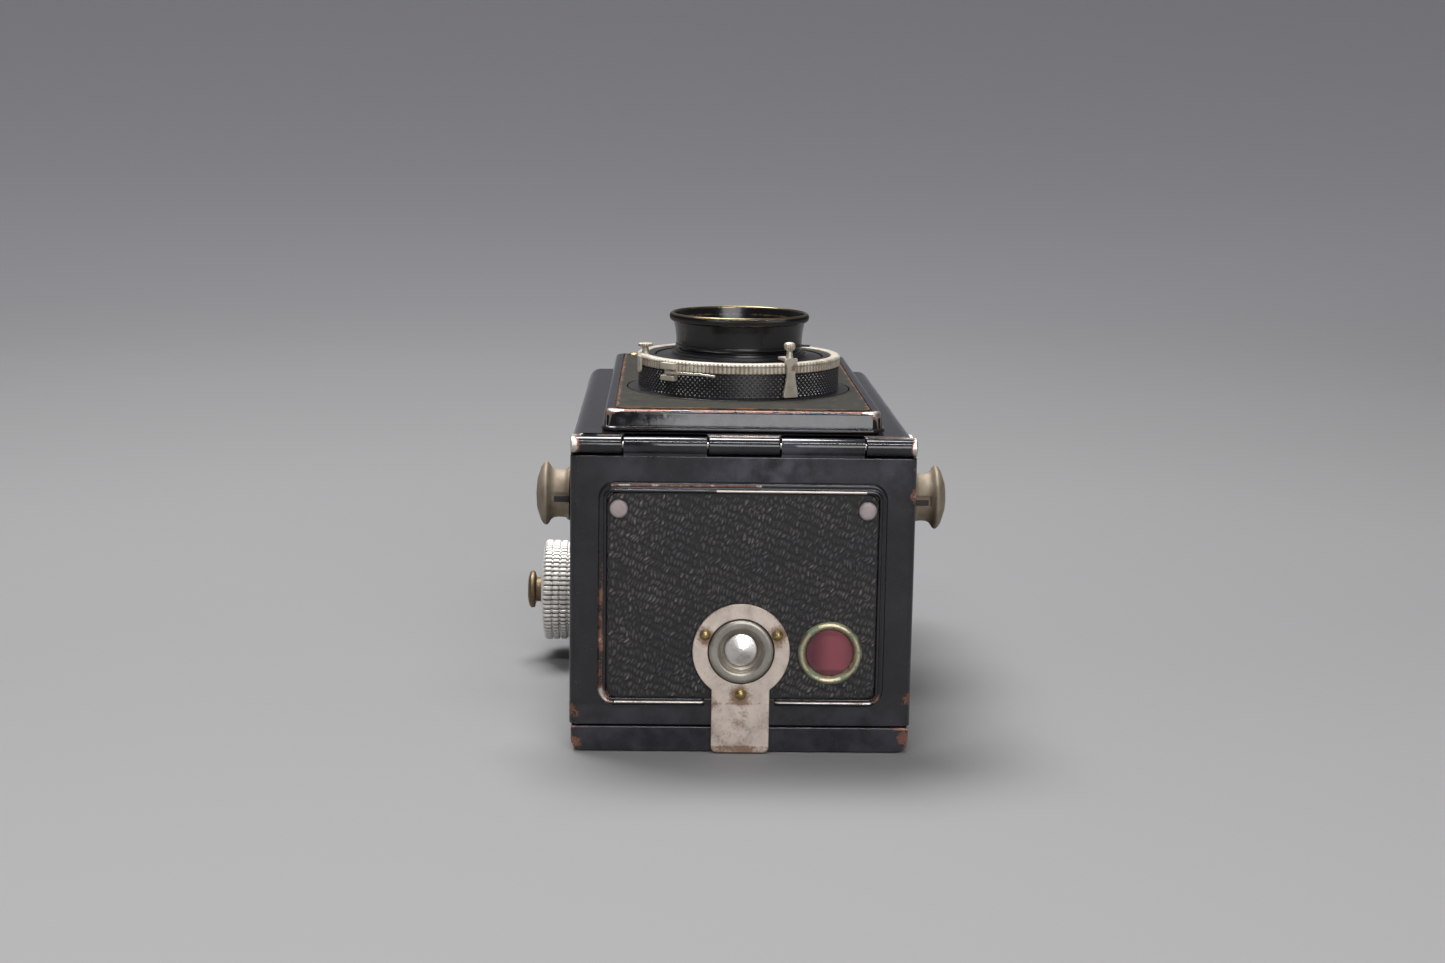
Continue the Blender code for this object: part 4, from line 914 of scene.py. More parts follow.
def keyhole():
    """Outline of the latch plate: a disc with a parallel strip below it."""
    radius = 11.05
    half = 6.6
    start = math.degrees(math.asin(half / radius))
    outline = arc((LATCH[0], LATCH[2]), radius, -90 + start, 270 - start, 72)
    low = limits("latch_plate")[2][0]
    foot = [(-half, low + 0.8), (-half + 0.8, low), (half - 0.8, low), (half, low + 0.8)]
    return soften(outline + foot, 0.6, 3, True)


def thread(_, radius, height):
    """Ripple of a fine thread on the socket's wall."""
    return np.where(radius < 5.4, -0.08 * (0.5 + 0.5 * np.cos(height * math.tau / 0.5)), 0.0)


def make_latch(nickelled, dark_nickel, bright, rivet_brass):
    heights = limits("latch_plate")[1]
    centre = (LATCH[0], LATCH[2])
    latch = plate("latch_plate_look", "Y", keyhole(), heights, 0)
    cut(latch, rod("c", "Y", centre, 7.6, (heights[0] - 2, heights[1] + 2), 96))
    dress("latch_plate", nickelled, bevel(latch, 0.16))
    washer = above(FACE, -1, (5.0, 1.0), (5.12, 1.42), (5.5, 1.62), (6.6, 1.66), (7.1, 1.52), (7.36, 1.2),
                   (7.4, 0.6), (5.0, 0.6))
    socket = above(FACE, 1, (5.0, -1.15), (4.8, -0.7), (4.62, 0.25), (4.2, 0.55), (3.95, 0.7), (3.95, 4.2),
                   (5.5, 4.2), (5.5, -0.7))
    cone = above(FACE, 1, (0, -0.35), (0.4, -0.33), (3.6, 0.38), (3.93, 0.6), (3.93, 3.9), (0, 3.9))
    dress("tripod_bush", dark_nickel, lathe("tripod_bush_look", "Y", centre, washer, 128, rounding=0.3))
    wall = lathe("socket_wall", "Y", centre, socket, 96, thread, spacing=0.12)
    add("base_door", "nickel", dark_nickel, wall)
    add("base_door", "nickel", bright, lathe("socket_end", "Y", centre, cone, 128, rounding=0.2))
    for number in (1, 2, 3):
        node = f"latch_rivet_{number}"
        place = middle(node)
        dome = above(limits(node)[1][0], 1, (0, 0), (0.62, 0.12), (1.0, 0.5), (1.25, 0.85), (1.3, 1.0),
                     (0.6, 1.0), (0.6, 1.8), (0, 1.8))
        dress(node, rivet_brass, lathe(node + "_look", "Y", (place[0], place[2]), dome, 48, rounding=0.3))


def make_window(ring_brass):
    centre = (WINDOW[0], WINDOW[2])
    ring = above(FACE, 1, (5.42, -0.35), (5.7, -0.95), (6.05, -1.38), (6.5, -1.5), (6.95, -1.3), (7.3, -0.75),
                 (7.35, -0.5), (6.0, -0.5), (6.0, 2.4), (4.9, 2.4), (4.9, 1.4), (5.42, 1.4))
    dress("window_ring", ring_brass, lathe("window_ring_look", "Y", centre, ring, 144, rounding=0.2))
    dress("window_glass", ruby("old red celluloid", WINDOW),
          rod("window_glass_look", "Y", centre, 5.3, (FACE - 0.1, FACE + 1.1), 96))


def make_studs(stud_nickel):
    dome = above(FACE, 1, (0, -1.5), (1.3, -1.45), (1.8, -1.3), (2.03, -0.95), (2.08, -0.45), (0.9, -0.45),
                 (0.9, 2.4), (0, 2.4))
    for node in ("foot_stud_left", "foot_stud_right"):
        place = middle(node)
        dress(node, stud_nickel, lathe(node + "_look", "Y", (place[0], place[2]), dome, 64, rounding=0.4))


# ---------------------------------------------------------------- lens board
def board_outline(inset):
    """Rounded outline of the board, drawn in by inset."""
    x = (BOARD_X[0] + inset, BOARD_X[1] - inset)
    y = (BOARD_Y[0] + inset, BOARD_Y[1] - inset)
    return rounded(x, y, max(3.6 - inset, 1.2), 10)


def make_board():
    foot, top = 73.4, BOARD_Z[1]
    steps = above(foot, 1, (0.05, 0), (0.0, 0.15), (0.0, 0.45), (0.12, 0.62), (0.42, 0.72), (0.58, 0.95))
    steps += above(top, -1, (0.75, 1.15), (0.86, 0.62), (1.08, 0.28), (1.45, 0.06), (1.9, 0), (2.75, 0),
                   (2.92, 0.08), (3.02, 0.5))
    board = loft("lens_board_look", "Z", [(board_outline(inset), z) for inset, z in steps])
    hollow = block("hollow", (BOARD_X[0] + 1.3, BOARD_X[1] - 1.3), (BOARD_Y[0] + 1.3, BOARD_Y[1] - 1.3),
                   (foot - 2, top - 1.4), 0)
    taking, viewing = LENS[:2], VIEW[:2]
    cut(board, hollow, rod("c1", "Z", taking, 14.2, (60, 90)), rod("c2", "Z", viewing, 13.1, (60, 90)))
    return [board, tube("taking_tube", "Z", taking, (14.2, 15.5), (67.2, top - 1.2)),
            tube("viewing_tube", "Z", viewing, (13.1, 14.4), (69.5, top - 1.2))]


def make_screws(screw_brass):
    for node in ("board_screw_left", "board_screw_right"):
        x, y = middle(node)[:2]
        low, high = limits(node)[2]
        head = [(0, high), (0.6, high - 0.05), (1.1, high - 0.25), (1.4, high - 0.5), (1.4, low), (0, low)]
        screw = lathe(node + "_look", "Z", (x, y), head, 48)
        slot = block("slot", (x - 2, x + 2), (y - 0.2, y + 0.2), (high - 0.4, high + 1), 0)
        dress(node, screw_brass, cut(screw, slot))


# ---------------------------------------------------------------- shutter
DRUM = 24.5
DRUM_Z = (78.35, 84.0)


def triangle_wave(value):
    """0 at whole numbers, 1 half way between them."""
    return 1 - abs(2 * (value - np.floor(value)) - 1)


def diamonds(count, period, depth):
    """Ripple of a diamond knurl, cut inward."""
    def ripple(angle, radius, height):
        along = angle * count / math.tau
        up = height / period
        peak = np.minimum(triangle_wave(along + up), triangle_wave(along - up))
        return depth * (np.minimum(peak * 1.2, 1) - 1)
    return ripple


def ribs(count, depth, from_radius, sharpness=1.6):
    """Ripple of straight ribs on the parts of a profile that lie beyond a radius."""
    def ripple(angle, radius, height):
        groove = np.clip((0.5 + 0.5 * np.cos(angle * count)) * sharpness - (sharpness - 1), 0, 1)
        return np.where(radius > from_radius, -depth * groove, 0.0)
    return ripple


def make_housing(plain, knurled):
    low, high = DRUM_Z
    housing = above(low - 0.55, 1, (14.2, 0), (27.0, 0), (27.0, 0.35), (26.7, 0.5), (24.7, 0.6), (24.2, 0.75))
    housing += [(24.2, 84.9), (22.2, 84.9), (22.2, 86.2), (20.5, 86.2), (20.5, 80.2), (14.2, 80.2)]
    dress("shutter_housing", plain, lathe("shutter_housing_look", "Z", LENS[:2], housing, 192))
    band = [(DRUM, low), (DRUM, high), (24.0, high), (24.0, low)]
    sleeve = lathe("drum_knurl", "Z", LENS[:2], band, 1440, diamonds(120, 1.2, 0.46), 0.1, 60, 0.14)
    add("lens_board", "black_metal", knurled, sleeve)


def make_face(material):
    face = [(12.0, 81.0), (16.0, 81.0), (16.0, 84.8), (20.2, 84.8), (20.2, 85.9), (19.7, 86.1), (16.6, 86.3),
            (16.4, 86.95), (15.9, 87.1), (15.3, 87.0), (15.1, 86.7), (14.9, 86.75), (14.8, 87.5),
            (14.3, 87.65), (14.1, 87.4), (13.9, 87.45), (13.8, 87.95), (13.5, 88.0), (13.5, 90.0),
            (12.0, 90.0)]
    dress("shutter_face", material, lathe("shutter_face_look", "Z", LENS[:2], face, 192, rounding=0.12))


def make_setting_ring(material):
    low = DRUM_Z[1] + 0.12
    ring = [(22.5, 85.2), (24.42, 85.2), (24.42, low), (24.62, low), (24.72, low + 0.1), (24.72, 85.7),
            (24.85, 85.85), (24.85, 86.1), (24.6, 86.4), (24.1, 86.6), (22.8, 86.6), (22.5, 86.4)]
    band = lathe("aperture_ring_look", "Z", LENS[:2], ring, 1200, ribs(150, 0.17, 24.55), 0.08, spacing=0.3)
    pointer = pointer_tab()
    button = [(0, 86.3), (1.0, 86.3), (0.8, 86.9), (0.8, 88.0), (1.65, 88.15), (1.8, 88.3), (1.8, 88.75),
              (1.6, 88.9), (0, 88.95)]
    knob = lathe("ring_knob", "Z", (LENS[0], LENS[1] - 22.9), button, 144, ribs(24, 0.12, 1.5), 0.08,
                 spacing=0.2)
    dress("aperture_ring", material, band, pointer, turn(knob, -84.0))


def pointer_tab():
    """Tab that hangs from the setting ring beside the drum, with a rounded end."""
    outline = [(1.0, 86.5), (-1.0, 86.5), (-0.95, 83.4)]
    outline += arc((0, 83.4), 0.95, 180, 360, 10)
    y = LENS[1] - DRUM - 0.8
    tab = plate("ring_pointer", "Y", outline, (y - 0.6, y), 0.15)
    return turn(tab, -70.0)


def make_lever(material):
    """Hourglass cocking lever with a foot, a waist, a bend in over the ring and a small knurled knob."""
    y = LENS[1] - DRUM - 0.7
    top = 87.9
    right = [(1.95, 78.6), (1.9, 79.6), (1.55, 81.2), (1.12, 83.4), (1.0, 84.8), (1.1, 85.8), (1.55, 86.7),
             (1.75, 87.3), (1.6, top)]
    outline = soften(right + [(-x, z) for x, z in reversed(right)], 0.5, 4, True)
    lever = plate("cocking_lever_look", "Y", outline, (y - 0.75, y), 0.16)
    bend = block("lever_bend", (-1.05, 1.05), (y - 0.5, y + 4.2), (top - 0.75, top), 0.2)
    profile = above(top, 1, (0, -0.3), (1.05, -0.3), (0.8, 0.5), (0.65, 1.6), (0.9, 1.9), (1.3, 2.2),
                    (1.35, 2.5), (1.35, 3.1), (1.15, 3.45), (0.6, 3.7), (0, 3.75))
    knob = lathe("lever_knob", "Z", (LENS[0], y + 0.4), profile, 96, ribs(16, 0.1, 1.2), 0.1, spacing=0.2)
    dress("cocking_lever", material, *(turn(piece, 26.8) for piece in (lever, bend, knob)))


def make_release_arm(material):
    """Long arm that narrows to a bright, slightly spread tip."""
    stations = spread((-43.0, 25.6, 26.3, 83.45, 84.25), (-22.0, 25.6, 26.2, 83.65, 84.2), 14)
    stations += spread((-20.5, 25.55, 26.15, 83.6, 84.1), (-14.0, 25.3, 26.1, 83.35, 83.9), 6)
    dress("release_lever", material, curved_strip("release_lever_look", LENS, stations))


def make_lens_hood(material):
    low, top = limits("lens_hood")[2]
    hood = above(low, 1, (13.8, 0), (15.5, 0), (15.5, 0.5), (15.3, 0.65), (15.35, 2.2), (15.6, 4.2))
    hood += above(top, -1, (15.95, 2.4), (16.0, 2.2), (16.35, 2.12), (16.8, 1.8), (17.0, 1.3), (17.0, 0.9),
                  (16.85, 0.4), (16.5, 0.06), (16.2, 0), (15.95, 0.25), (15.85, 0.8), (14.9, 5.8))
    hood.append((13.8, low + 2.1))
    obj = lathe("lens_hood_look", "Z", LENS[:2], hood, 1100, ribs(220, 0.09, 16.75), 0.12, spacing=0.5)
    tab = block("hood_tab", (LENS[0] + 15.3, LENS[0] + 17.4), (LENS[1] - 0.9, LENS[1] + 0.9),
                (low + 0.2, low + 0.55), 0.1)
    dress("lens_hood", material, obj, turn(tab, -8.0))


# ---------------------------------------------------------------- knobs
def make_spool_knobs(material, dark):
    start, end = 39.6, 47.4
    profile = above(end, 1, (0, 0.05), (3.5, -0.25), (6.3, -1.2), (7.1, -1.75), (7.42, -2.3), (7.25, -2.75),
                    (6.7, -3.1), (6.0, -3.55), (5.62, -4.2), (5.5, -5.0))
    profile += above(start, 1, (5.55, 1.3), (5.75, 0.8), (6.25, 0.25), (6.3, 0), (2.5, 0))
    profile += [(2.5, 28.8), (0, 28.8)]
    for node, side in (("spool_knob_left", -1), ("spool_knob_right", 1)):
        y, z = middle(node)[1:]
        knob = lathe(node + "_look", "X", (y, z), [(r, side * h) for r, h in profile], 128, rounding=0.3)
        reach = sorted((side * (start - 0.5), side * (start + 4.1)))
        slot = block("slot", reach, (y - 9, y - 4.9), (z - 1.15, z + 1.15), 0)
        dress(node, material, cut(knob, slot))
        reach = sorted((side * (start + 0.05), side * (start + 3.5)))
        pin = block("slot_pin", reach, (y - 5.45, y - 4.8), (z - 0.95, z + 0.15), 0.1)
        add(BODY_OF[node], "nickel", dark, pin)


def make_winding_knob(material, button):
    y, z = middle("winding_knob")[1:]
    edge = 13.25
    end = 50.0
    profile = [(0, 28.6), (2.7, 28.6), (2.7, 33.2), (3.9, 33.2), (3.9, 39.7), (edge - 1.2, 39.7),
               (edge - 0.5, 40.1)]
    pitch = 1.95
    for i in range(4):
        groove = end - 1.2 - pitch * (4 - i)
        swell = edge - 0.25 * (1.0 - i / 3)
        profile += above(groove, 1, (swell - 0.05, -0.28), (swell - 0.5, -0.12), (swell - 0.5, 0.12),
                         (swell, 0.28))
    profile += above(end, -1, (edge, 1.6), (edge - 0.25, 1.1), (edge - 1.1, 0.75), (9.5, 0.2), (7.0, 0),
                     (5.6, 0.2), (5.3, 0.9), (3.6, 0.9), (3.6, 7.0), (0, 7.0))
    knurl = ribs(64, 0.34, edge - 0.75, 1.5)
    outward = [(r, -h) for r, h in profile]
    dress("winding_knob", material,
          lathe("winding_knob_look", "X", (y, z), outward, 640, knurl, 0.08, spacing=0.4))
    top = 53.8
    cap = [(0, end - 5.0), (3.25, end - 5.0)]
    cap += above(top, -1, (3.25, 2.3), (3.9, 2.15), (4.7, 1.95), (4.9, 1.6), (4.9, 1.0), (4.5, 0.55),
                 (3.0, 0.15), (0, -0.02))
    outward = [(r, -h) for r, h in cap]
    dress("wind_button", button, lathe("wind_button_look", "X", (y, z), outward, 96, rounding=0.2))


def make_focus_knob(material):
    y, z = middle("focus_knob")[1:]
    low, high = limits("focus_knob")[0]
    edge = 15.0
    profile = above(low, 1, (2.7, 0), (edge - 1.0, 0), (edge - 0.3, 0.3), (edge - 0.1, 0.8))
    for groove in (low + 2.7, low + 4.65, low + 6.6):
        profile += above(groove, 1, (edge, -0.28), (edge - 0.5, -0.12), (edge - 0.5, 0.12), (edge, 0.28))
    profile += above(high, -1, (edge, 1.0), (edge - 0.4, 0.6), (edge - 2.2, 0.3), (edge - 2.6, 0.9),
                     (6.0, 0.9), (5.5, 0.2), (4.6, 0), (2.7, 0))
    knurl = ribs(72, 0.34, edge - 0.75, 1.5)
    dress("focus_knob", material,
          lathe("focus_knob_look", "X", (y, z), profile, 720, knurl, 0.08, spacing=0.4))


# ---------------------------------------------------------------- stage and camera
CAMERA_PLACE = (-0.017846, -0.549188, 0.146295)
CAMERA_TURN = (9.7255, 1.5374, 0.8982)        # pitch down, yaw and roll in degrees
LENS_RATIO = 2200 / 1445                      # focal length over the picture's width


def build_camera():
    pitch, yaw, roll = (math.radians(v) for v in CAMERA_TURN)
    forward = Vector((math.sin(yaw) * math.cos(pitch), math.cos(yaw) * math.cos(pitch), -math.sin(pitch)))
    right = Vector((math.cos(yaw), -math.sin(yaw), 0.0))
    up = right.cross(forward)
    across = right * math.cos(roll) + up * math.sin(roll)
    upward = up * math.cos(roll) - right * math.sin(roll)
    data = bpy.data.cameras.new("camera")
    data.sensor_width = 36.0
    data.lens = 36.0 * LENS_RATIO
    data.clip_start = 0.01
    camera = bpy.data.objects.new("camera", data)
    axes = Matrix((across, upward, -forward)).transposed()
    camera.matrix_world = Matrix.Translation(CAMERA_PLACE) @ axes.to_4x4()
    bpy.context.scene.collection.objects.link(camera)
    bpy.context.scene.camera = camera


def build_backdrop():
    """Plain pale paper that runs back from under the camera and sweeps up all round."""
    radius, reach, rise = 2.2, 0.9, 3.6
    segments = 96
    bends = np.linspace(0, math.pi / 2, 24)[1:]
    profile = [(0.0, 0.0), (reach, 0.0)]
    profile += [(reach + radius * math.sin(a), radius - radius * math.cos(a)) for a in bends]
    profile.append((reach + radius, rise))
    distance, height = np.array(profile).T[:, :, None]
    angle = np.linspace(0, math.tau, segments, endpoint=False)[None, :]
    across, back = distance * np.cos(angle), distance * np.sin(angle)
    points = np.stack(np.broadcast_arrays(across, back, height), axis=-1).reshape(-1, 3)
    paper = make_object("backdrop", points, ring_faces(len(profile), segments, False), 180)
    f = Finish("grey paper", (0.22, 0.22, 0.225), 0.85)
    # Painted light on the paper: the floor near the camera and the far sweep are painted lighter than the
    # middle, as pools of light.
    near = f.zone(None, (-4000, -320), None, 420)
    far = f.zone(None, (1300, 6000), None, 900)
    tone = f.blend(f.noise(0.004, 2), (0.196, 0.195, 0.198), (0.212, 0.210, 0.212))
    tone = f.blend(near, tone, (0.255, 0.252, 0.250))
    f.set("Base Color", f.blend(far, tone, (0.30, 0.30, 0.315)))
    paper.data.materials.append(f.material)
    lower_for_cover(paper)


def lower_for_cover(paper):
    """The floor sinks when the back cover swings down past it."""
    driver = paper.driver_add("location", 2).driver
    driver.type = "SCRIPTED"
    turned = driver.variables.new()
    turned.name = "turned"
    turned.type = "TRANSFORMS"
    turned.targets[0].id = frame["bodies"]["back_cover"]
    turned.targets[0].transform_type = "ROT_X"
    turned.targets[0].transform_space = "WORLD_SPACE"
    drop = cad_high[1] - cad_low[1]
    driver.expression = f"-{drop:.4f} * min(1, abs(sin(turned)) + max(0, -cos(turned)))"


def area_light(name, place, aim, size, power, colour=(1, 1, 1)):
    light = bpy.data.lights.new(name, "AREA")
    light.shape = "RECTANGLE"
    light.size, light.size_y = size
    light.energy = power
    light.color = colour
    obj = bpy.data.objects.new(name, light)
    obj.location = place
    obj.rotation_euler = (Vector(aim) - Vector(place)).to_track_quat("-Z", "Y").to_euler()
    bpy.context.scene.collection.objects.link(obj)


def build_light():
    world = bpy.data.worlds.new("studio")
    bpy.context.scene.world = world
    world.use_nodes = True
    ambient = world.node_tree.nodes["Background"]
    ambient.inputs["Color"].default_value = (0.93, 0.95, 1.0, 1)
    ambient.inputs["Strength"].default_value = 0.33
    area_light("overhead softbox", (-0.16, 0.29, 1.0), (0, 0.02, 0.03), (0.6, 0.36), 15)
    area_light("front strip", (0.0, -0.62, 0.95), (0, 0, 0.05), (1.0, 0.03), 5.5)
    area_light("front fill", (0.30, -1.35, 0.50), (0, 0, 0.05), (0.8, 0.6), 8)
    area_light("backdrop light", (-0.6, 1.1, 2.4), (-0.3, 2.4, 0.9), (2.2, 0.6), 16)
    bpy.context.scene.view_settings.view_transform = "Standard"


# ---------------------------------------------------------------- the whole camera
def spot(x, z, radius, amount, y=None):
    """Wear, or a painted reflection, round a place, which is on the base's outer face unless y is given."""
    return lambda f: f.near((x, FACE if y is None else y, z), radius), amount


def strip(x, y, z, soft, amount):
    """Wear, a painted highlight or a painted reflection in a block of space, fading over a soft border."""
    return lambda f: f.zone(x, y, z, soft), amount


def door_enamel():
    left, right = DOOR_X
    worn = [spot(left, 9.0, 7.0, 0.95), spot(right, 12.0, 7.0, 0.8), spot(right, 60.0, 5.5, 1.1),
            spot(right, 66.0, 3.0, 0.8), spot(left, 60.0, 6.0, 0.45), spot(left, 53.0, 4.0, 0.3),
            spot(left + 1, 30.0, 6.0, 0.12), strip((left, right), None, (67.9, 68.7), 0.3, 0.22)]
    # Painted reflections: a pale bluish sheen across the door's top strip and a fainter one along its bottom
    # strip, where the gloss mirrors the room and the floor.
    painted_reflections = [spot(6.0, 66.0, 26.0, 0.75), spot(34.0, 66.0, 15.0, 0.45), spot(-26.0, 66.0, 13.0, 0.3),
             strip((left + 2, right - 2), None, (6.4, 10.4), 1.2, 0.22)]
    return enamel("door enamel", 0.0, worn, painted_reflections=painted_reflections)


def bead_enamel():
    low, high = BEAD_Z
    left, right = BEAD_X
    # The corner spots, the streak down the left edge and the short strip along the top at the left are wear
    # to copper and brass; the strip just inside the top, from the middle to the right, and the strip along
    # the bottom are painted highlight lines, rubbed to bare metal where the gloss would catch the light.
    return enamel("bead enamel", 0.12, [
        spot(left + 1, low + 1, 4.4, 1.0), spot(right - 1, low + 1, 4.2, 0.95),
        strip((left - 1, left + 0.9), None, (14, 46), 1.2, 0.55),
        strip((left + 3, 4), None, (high - 1.1, high - 0.75), 0.2, 0.8),
        strip((-6, right - 5), None, (high - 2.3, high - 1.95), 0.2, 1.15),
        strip((left + 4, right - 3), None, (low + 0.9, low + 1.2), 0.2, 1.0)], edge=0.5)


def shell_enamel():
    left, right = DOOR_X
    hinge_y, hinge_z = HINGE[1] - 1.5, HINGE[2]
    return enamel("body enamel", 0.0, [
        spot(left - 0.5, hinge_z, 4.4, 2.2, hinge_y), spot(right + 0.5, hinge_z, 3.6, 2.2, hinge_y),
        spot(right, 73, 4.5, 1.1, FACE + 3), spot(left, 73, 4.0, 0.8, FACE + 3),
        strip((left, right), (FACE + 2, FACE + 4.2), (72, 73.5), 0.5, 0.42)])


def cover_enamel():
    left, right = DOOR_X
    return enamel("cover enamel", 0.02, [
        spot(left + 1, 3.0, 6.8, 0.82), spot(right - 0.5, 3.4, 7.4, 0.84),
        strip((left, right), (FACE - 1, FACE + 0.6), (5.6, 6.4), 0.3, 0.3)],
        # Painted reflection: a pale sheen over the cover's lower front.
        painted_reflections=[strip(None, (FACE - 1, FACE + 1), (0, 6), 1.0, 0.28)])


def board_enamel():
    left, right = BOARD_X
    front, top = BOARD_Y[0], BOARD_Z[1]
    # The corner spots are wear; the strip along the top front edge is edge wear and a painted highlight line
    # in one; the sheen on the front flank is a painted reflection.
    return enamel("board enamel", 0.0, [
        spot(left + 1.8, top, 4.2, 1.15, front + 1.8), spot(right - 1.8, top, 4.2, 1.25, front + 1.8),
        spot(left + 0.5, 73.8, 3.5, 0.4, front + 0.5),
        strip(None, (front - 1, front + 1.5), (top - 0.35, top + 0.5), 0.3, 0.78)], edge=0.7,
        painted_reflections=[strip((-14, 20), (front - 2, front + 1), (top - 4, top - 0.5), 7.0, 0.45)])


def build_base():
    door = door_enamel()
    dress("base_door", door, make_door_panel())
    add("base_door", "black_enamel", door, *make_door_barrels())
    add("base_door", "black_enamel", bead_enamel(), make_bead())
    holes = [(LATCH[0], LATCH[2], 5.8), (WINDOW[0], WINDOW[2], 6.3)] + [(s[0], s[2], 1.2) for s in STUDS]
    outer, inner = LEATHER_Y
    dress("base_leather", leather("base leathercloth"),
          hide("base_leather_look", "Y", LEATHER_X, LEATHER_Z, inner, outer - 0.05, 7, holes, 0.26))


def build_hidden_leathers():
    cloth = leather("leathercloth")
    x, y, z = limits("back_leather")
    dress("back_leather", cloth, hide("back_leather_look", "Z", x, y, z[1], z[0] + 0.15, 11, relief=0.22))
    x, y, z = limits("hood_lid_leather")
    dress("hood_lid_leather", cloth, hide("hood_lid_leather_look", "Y", x, z, y[0], y[1], 13))
    supply, winding, focus = (middle(n) for n in ("supply_spool", "takeup_spool", "focus_knob"))
    for node, outer in (("side_leather_left", 0), ("side_leather_right", 1)):
        x, y, z = limits(node)
        holes = [(supply[1], supply[2], 4.0), (winding[1], winding[2], 5.0)]
        if outer:
            holes.append((focus[1], focus[2], 4.0))
        dress(node, cloth, hide(node + "_look", "X", y, z, x[1 - outer], x[outer], 17 + outer, holes))


def worn_ring(f):
    """A band worn round the neck of the shutter's face."""
    flat = f.vector("MULTIPLY", f.place, (1, 1, 0))
    reach = f.vector("DISTANCE", flat, (LENS[0], LENS[1], 0))
    return f.ramp(f.math("ABSOLUTE", f.math("SUBTRACT", reach, 15.7)), 1.1, 0.2)


def build_front():
    dress("lens_board", board_enamel(), *make_board())
    x, y = limits("board_panel")[:2]
    keep_shape("board_panel", panel_paint("panel paint", (x, y)), 0.1)
    smooth_black = lacquer("satin lacquer")
    inner_black = lacquer("worn lacquer", 0.10, [(worn_ring, 0.34)])
    # Painted light on the drum's knurl: the lighter grey colour is a painted highlight on the diamonds'
    # crests, and the lacquer paints the hollows near black as shade.
    knurled = lacquer("knurl lacquer", 0.0, (), 0.2, (0.062, 0.057, 0.060), (0.50, 0.46, 0.40))
    make_housing(smooth_black, knurled)
    make_face(inner_black)
    make_setting_ring(nickel("setting nickel", (0.56, 0.51, 0.43), 0.5, 0.48, (), 0.45, 0.4))
    rust = spot(LENS[0] + 12.3, 85.6, 1.5, 0.9, LENS[1] - 22.8)
    make_lever(nickel("lever nickel", (0.62, 0.56, 0.47), 0.42, 0.5, [rust], 0.55))
    keep_shape("release_block", nickel("block nickel", (0.66, 0.60, 0.50), 0.45, 0.5, (), 0.5), 0.12)
    make_release_arm(nickel("arm nickel", (0.78, 0.72, 0.62), 0.26, 0.46, (), 0.8))
    top = limits("lens_hood")[2][1]
    rim = [strip(None, None, (top - 0.35, top + 1), 0.3, 1.15),
           strip(None, None, (top - 2.15, top - 1.85), 0.2, 0.8)]
    make_lens_hood(lacquer("hood lacquer", -0.2, rim, 0.18, (0.006, 0.0058, 0.0068), (0.21, 0.165, 0.095)))
    keep_shape("viewing_lens_tube", smooth_black, 0.2)
    for node in ("taking_lens", "viewing_lens"):
        keep_shape(node, glass(node.replace("_", " ")), 0.1)
    make_screws(brass("screw brass"))


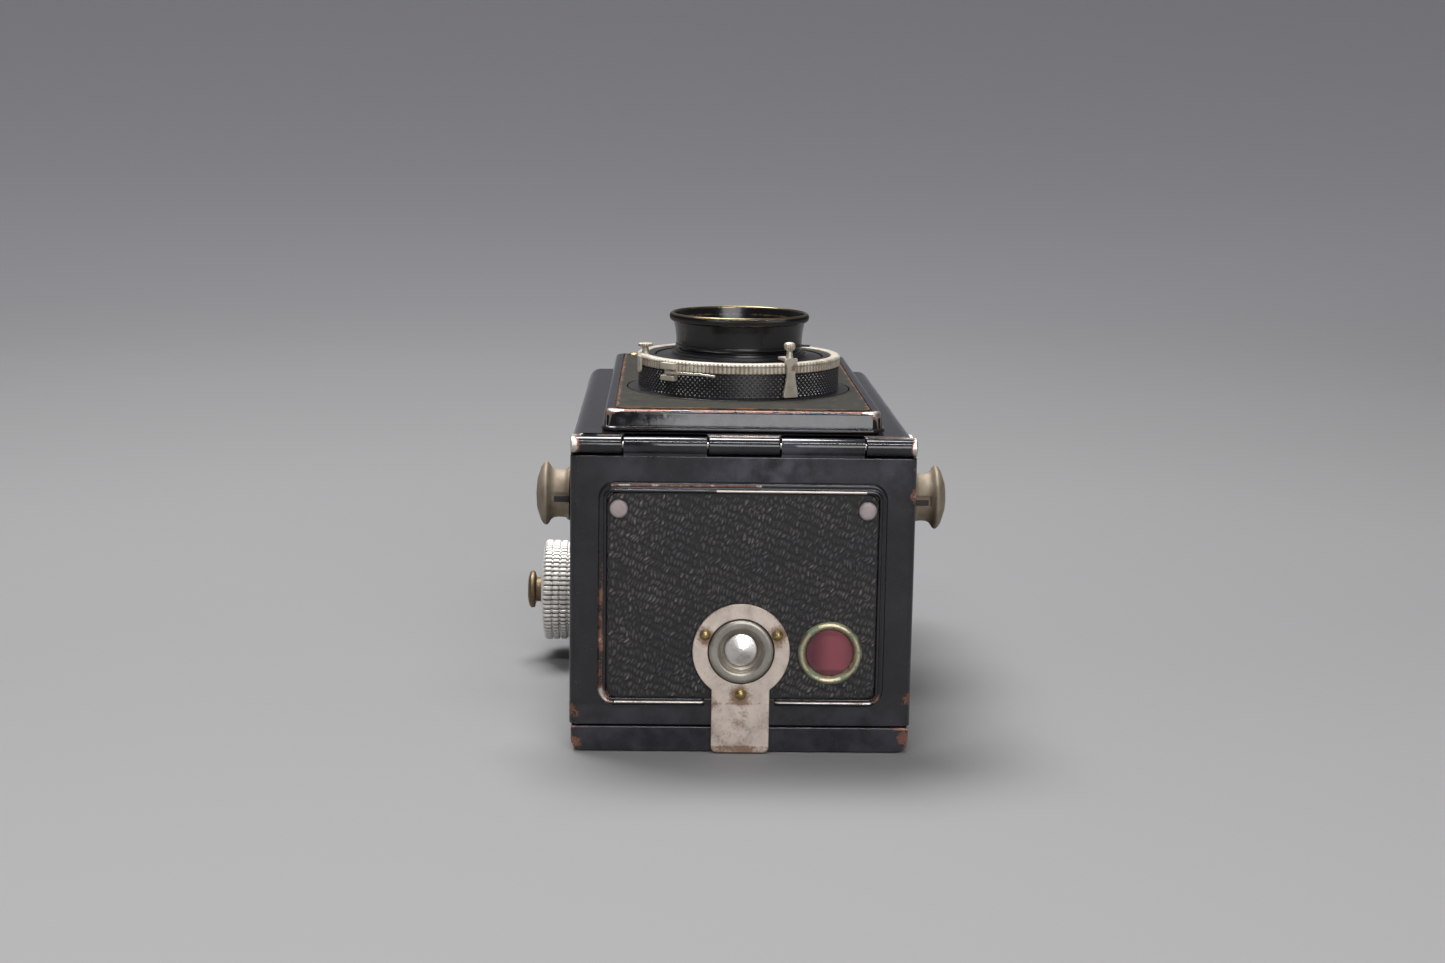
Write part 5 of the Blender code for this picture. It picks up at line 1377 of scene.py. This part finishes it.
def build_inside():
    dull = lacquer("baffle black", -0.1, roughness=0.6)
    for node in ("light_chamber", "mirror_frame", "focus_sleeve", "pressure_plate", "magnifier_frame"):
        keep_shape(node, dull)
    spool = lacquer("spool enamel", 0.0, roughness=0.4)
    for node in ("supply_spool", "takeup_spool"):
        keep_shape(node, spool)
    keep_shape("mirror", mirror_silver("mirror silver"), 0.05)
    keep_shape("ground_glass", ground("focusing screen"), 0.1)
    keep_shape("magnifier_lens", glass("magnifier glass"), 0.1)
    keep_shape("pressure_spring", spring_steel("blued spring"), 0.05)
    keep_shape("film_roller", alloy("roller alloy"), 0.1)
    plain = nickel("plain nickel")
    for node in ("base_hinge_pin", "back_hinge_pin", "strap_lug_left", "strap_lug_right", "takeup_pivot",
                 "focus_pinion", "focus_rack"):
        keep_shape(node, plain, 0.1)


def latch_nickel():
    """Nickel for the latch plate, stained at its foot, round its rivets and where it was bent."""
    front = FACE - 1.3
    worn = [strip((-7, 7), None, (0, 1.6), 0.6, 0.5), spot(-6.6, 11.9, 2.4, 0.45, front),
            strip((-6.2, 6.4), None, (11.7, 12.0), 0.25, 0.22), spot(-1.5, 6.0, 9.0, 0.22, front),
            spot(0.6, 9.6, 2.2, 0.25, front), spot(9.0, 31.5, 5.0, 0.22, front)]
    for number in (1, 2, 3):
        x, _, z = middle(f"latch_rivet_{number}")
        worn.append(spot(x, z - 0.4, 3.6, 1.0, front))
    return nickel("latch nickel", (0.70, 0.60, 0.53), 0.5, 0.53, worn, 0.55, 0.42)


def build_camera_pieces():
    build_base()
    keep_shape("body_shell", shell_enamel(), 0.35, 3)
    keep_shape("back_cover", cover_enamel(), 0.3, 3)
    hood = enamel("hood enamel")
    for node in ("hood_frame", "hood_lid", "hood_side_left", "hood_side_right", "hood_rear_leaf"):
        keep_shape(node, hood, 0.2)
    build_hidden_leathers()
    make_latch(latch_nickel(), nickel("washer nickel", (0.40, 0.375, 0.33), 0.36, 0.44),
               polished("socket end", LATCH), brass("rivet brass", (0.45, 0.33, 0.15), 0.34))
    make_window(brass("window brass", (0.54, 0.49, 0.34), 0.42, (0.22, 0.26, 0.165), 0.5))
    make_studs(nickel("stud nickel", (0.40, 0.335, 0.335), 0.65, 0.52, (), 0.3, 0.9))
    build_front()
    knob_nickel = nickel("knob nickel", (0.29, 0.24, 0.18), 0.6, 0.64, (), 0.5, 0.35)
    make_spool_knobs(knob_nickel, lacquer("pin black", -0.3, roughness=0.4))
    button = brass("button brass", (0.20, 0.145, 0.085), 0.5, (0.10, 0.08, 0.05))
    make_winding_knob(alloy("winding knob alloy"), button)
    make_focus_knob(alloy("focus knob alloy"))
    build_inside()


build_camera_pieces()
build_backdrop()
build_light()
build_camera()
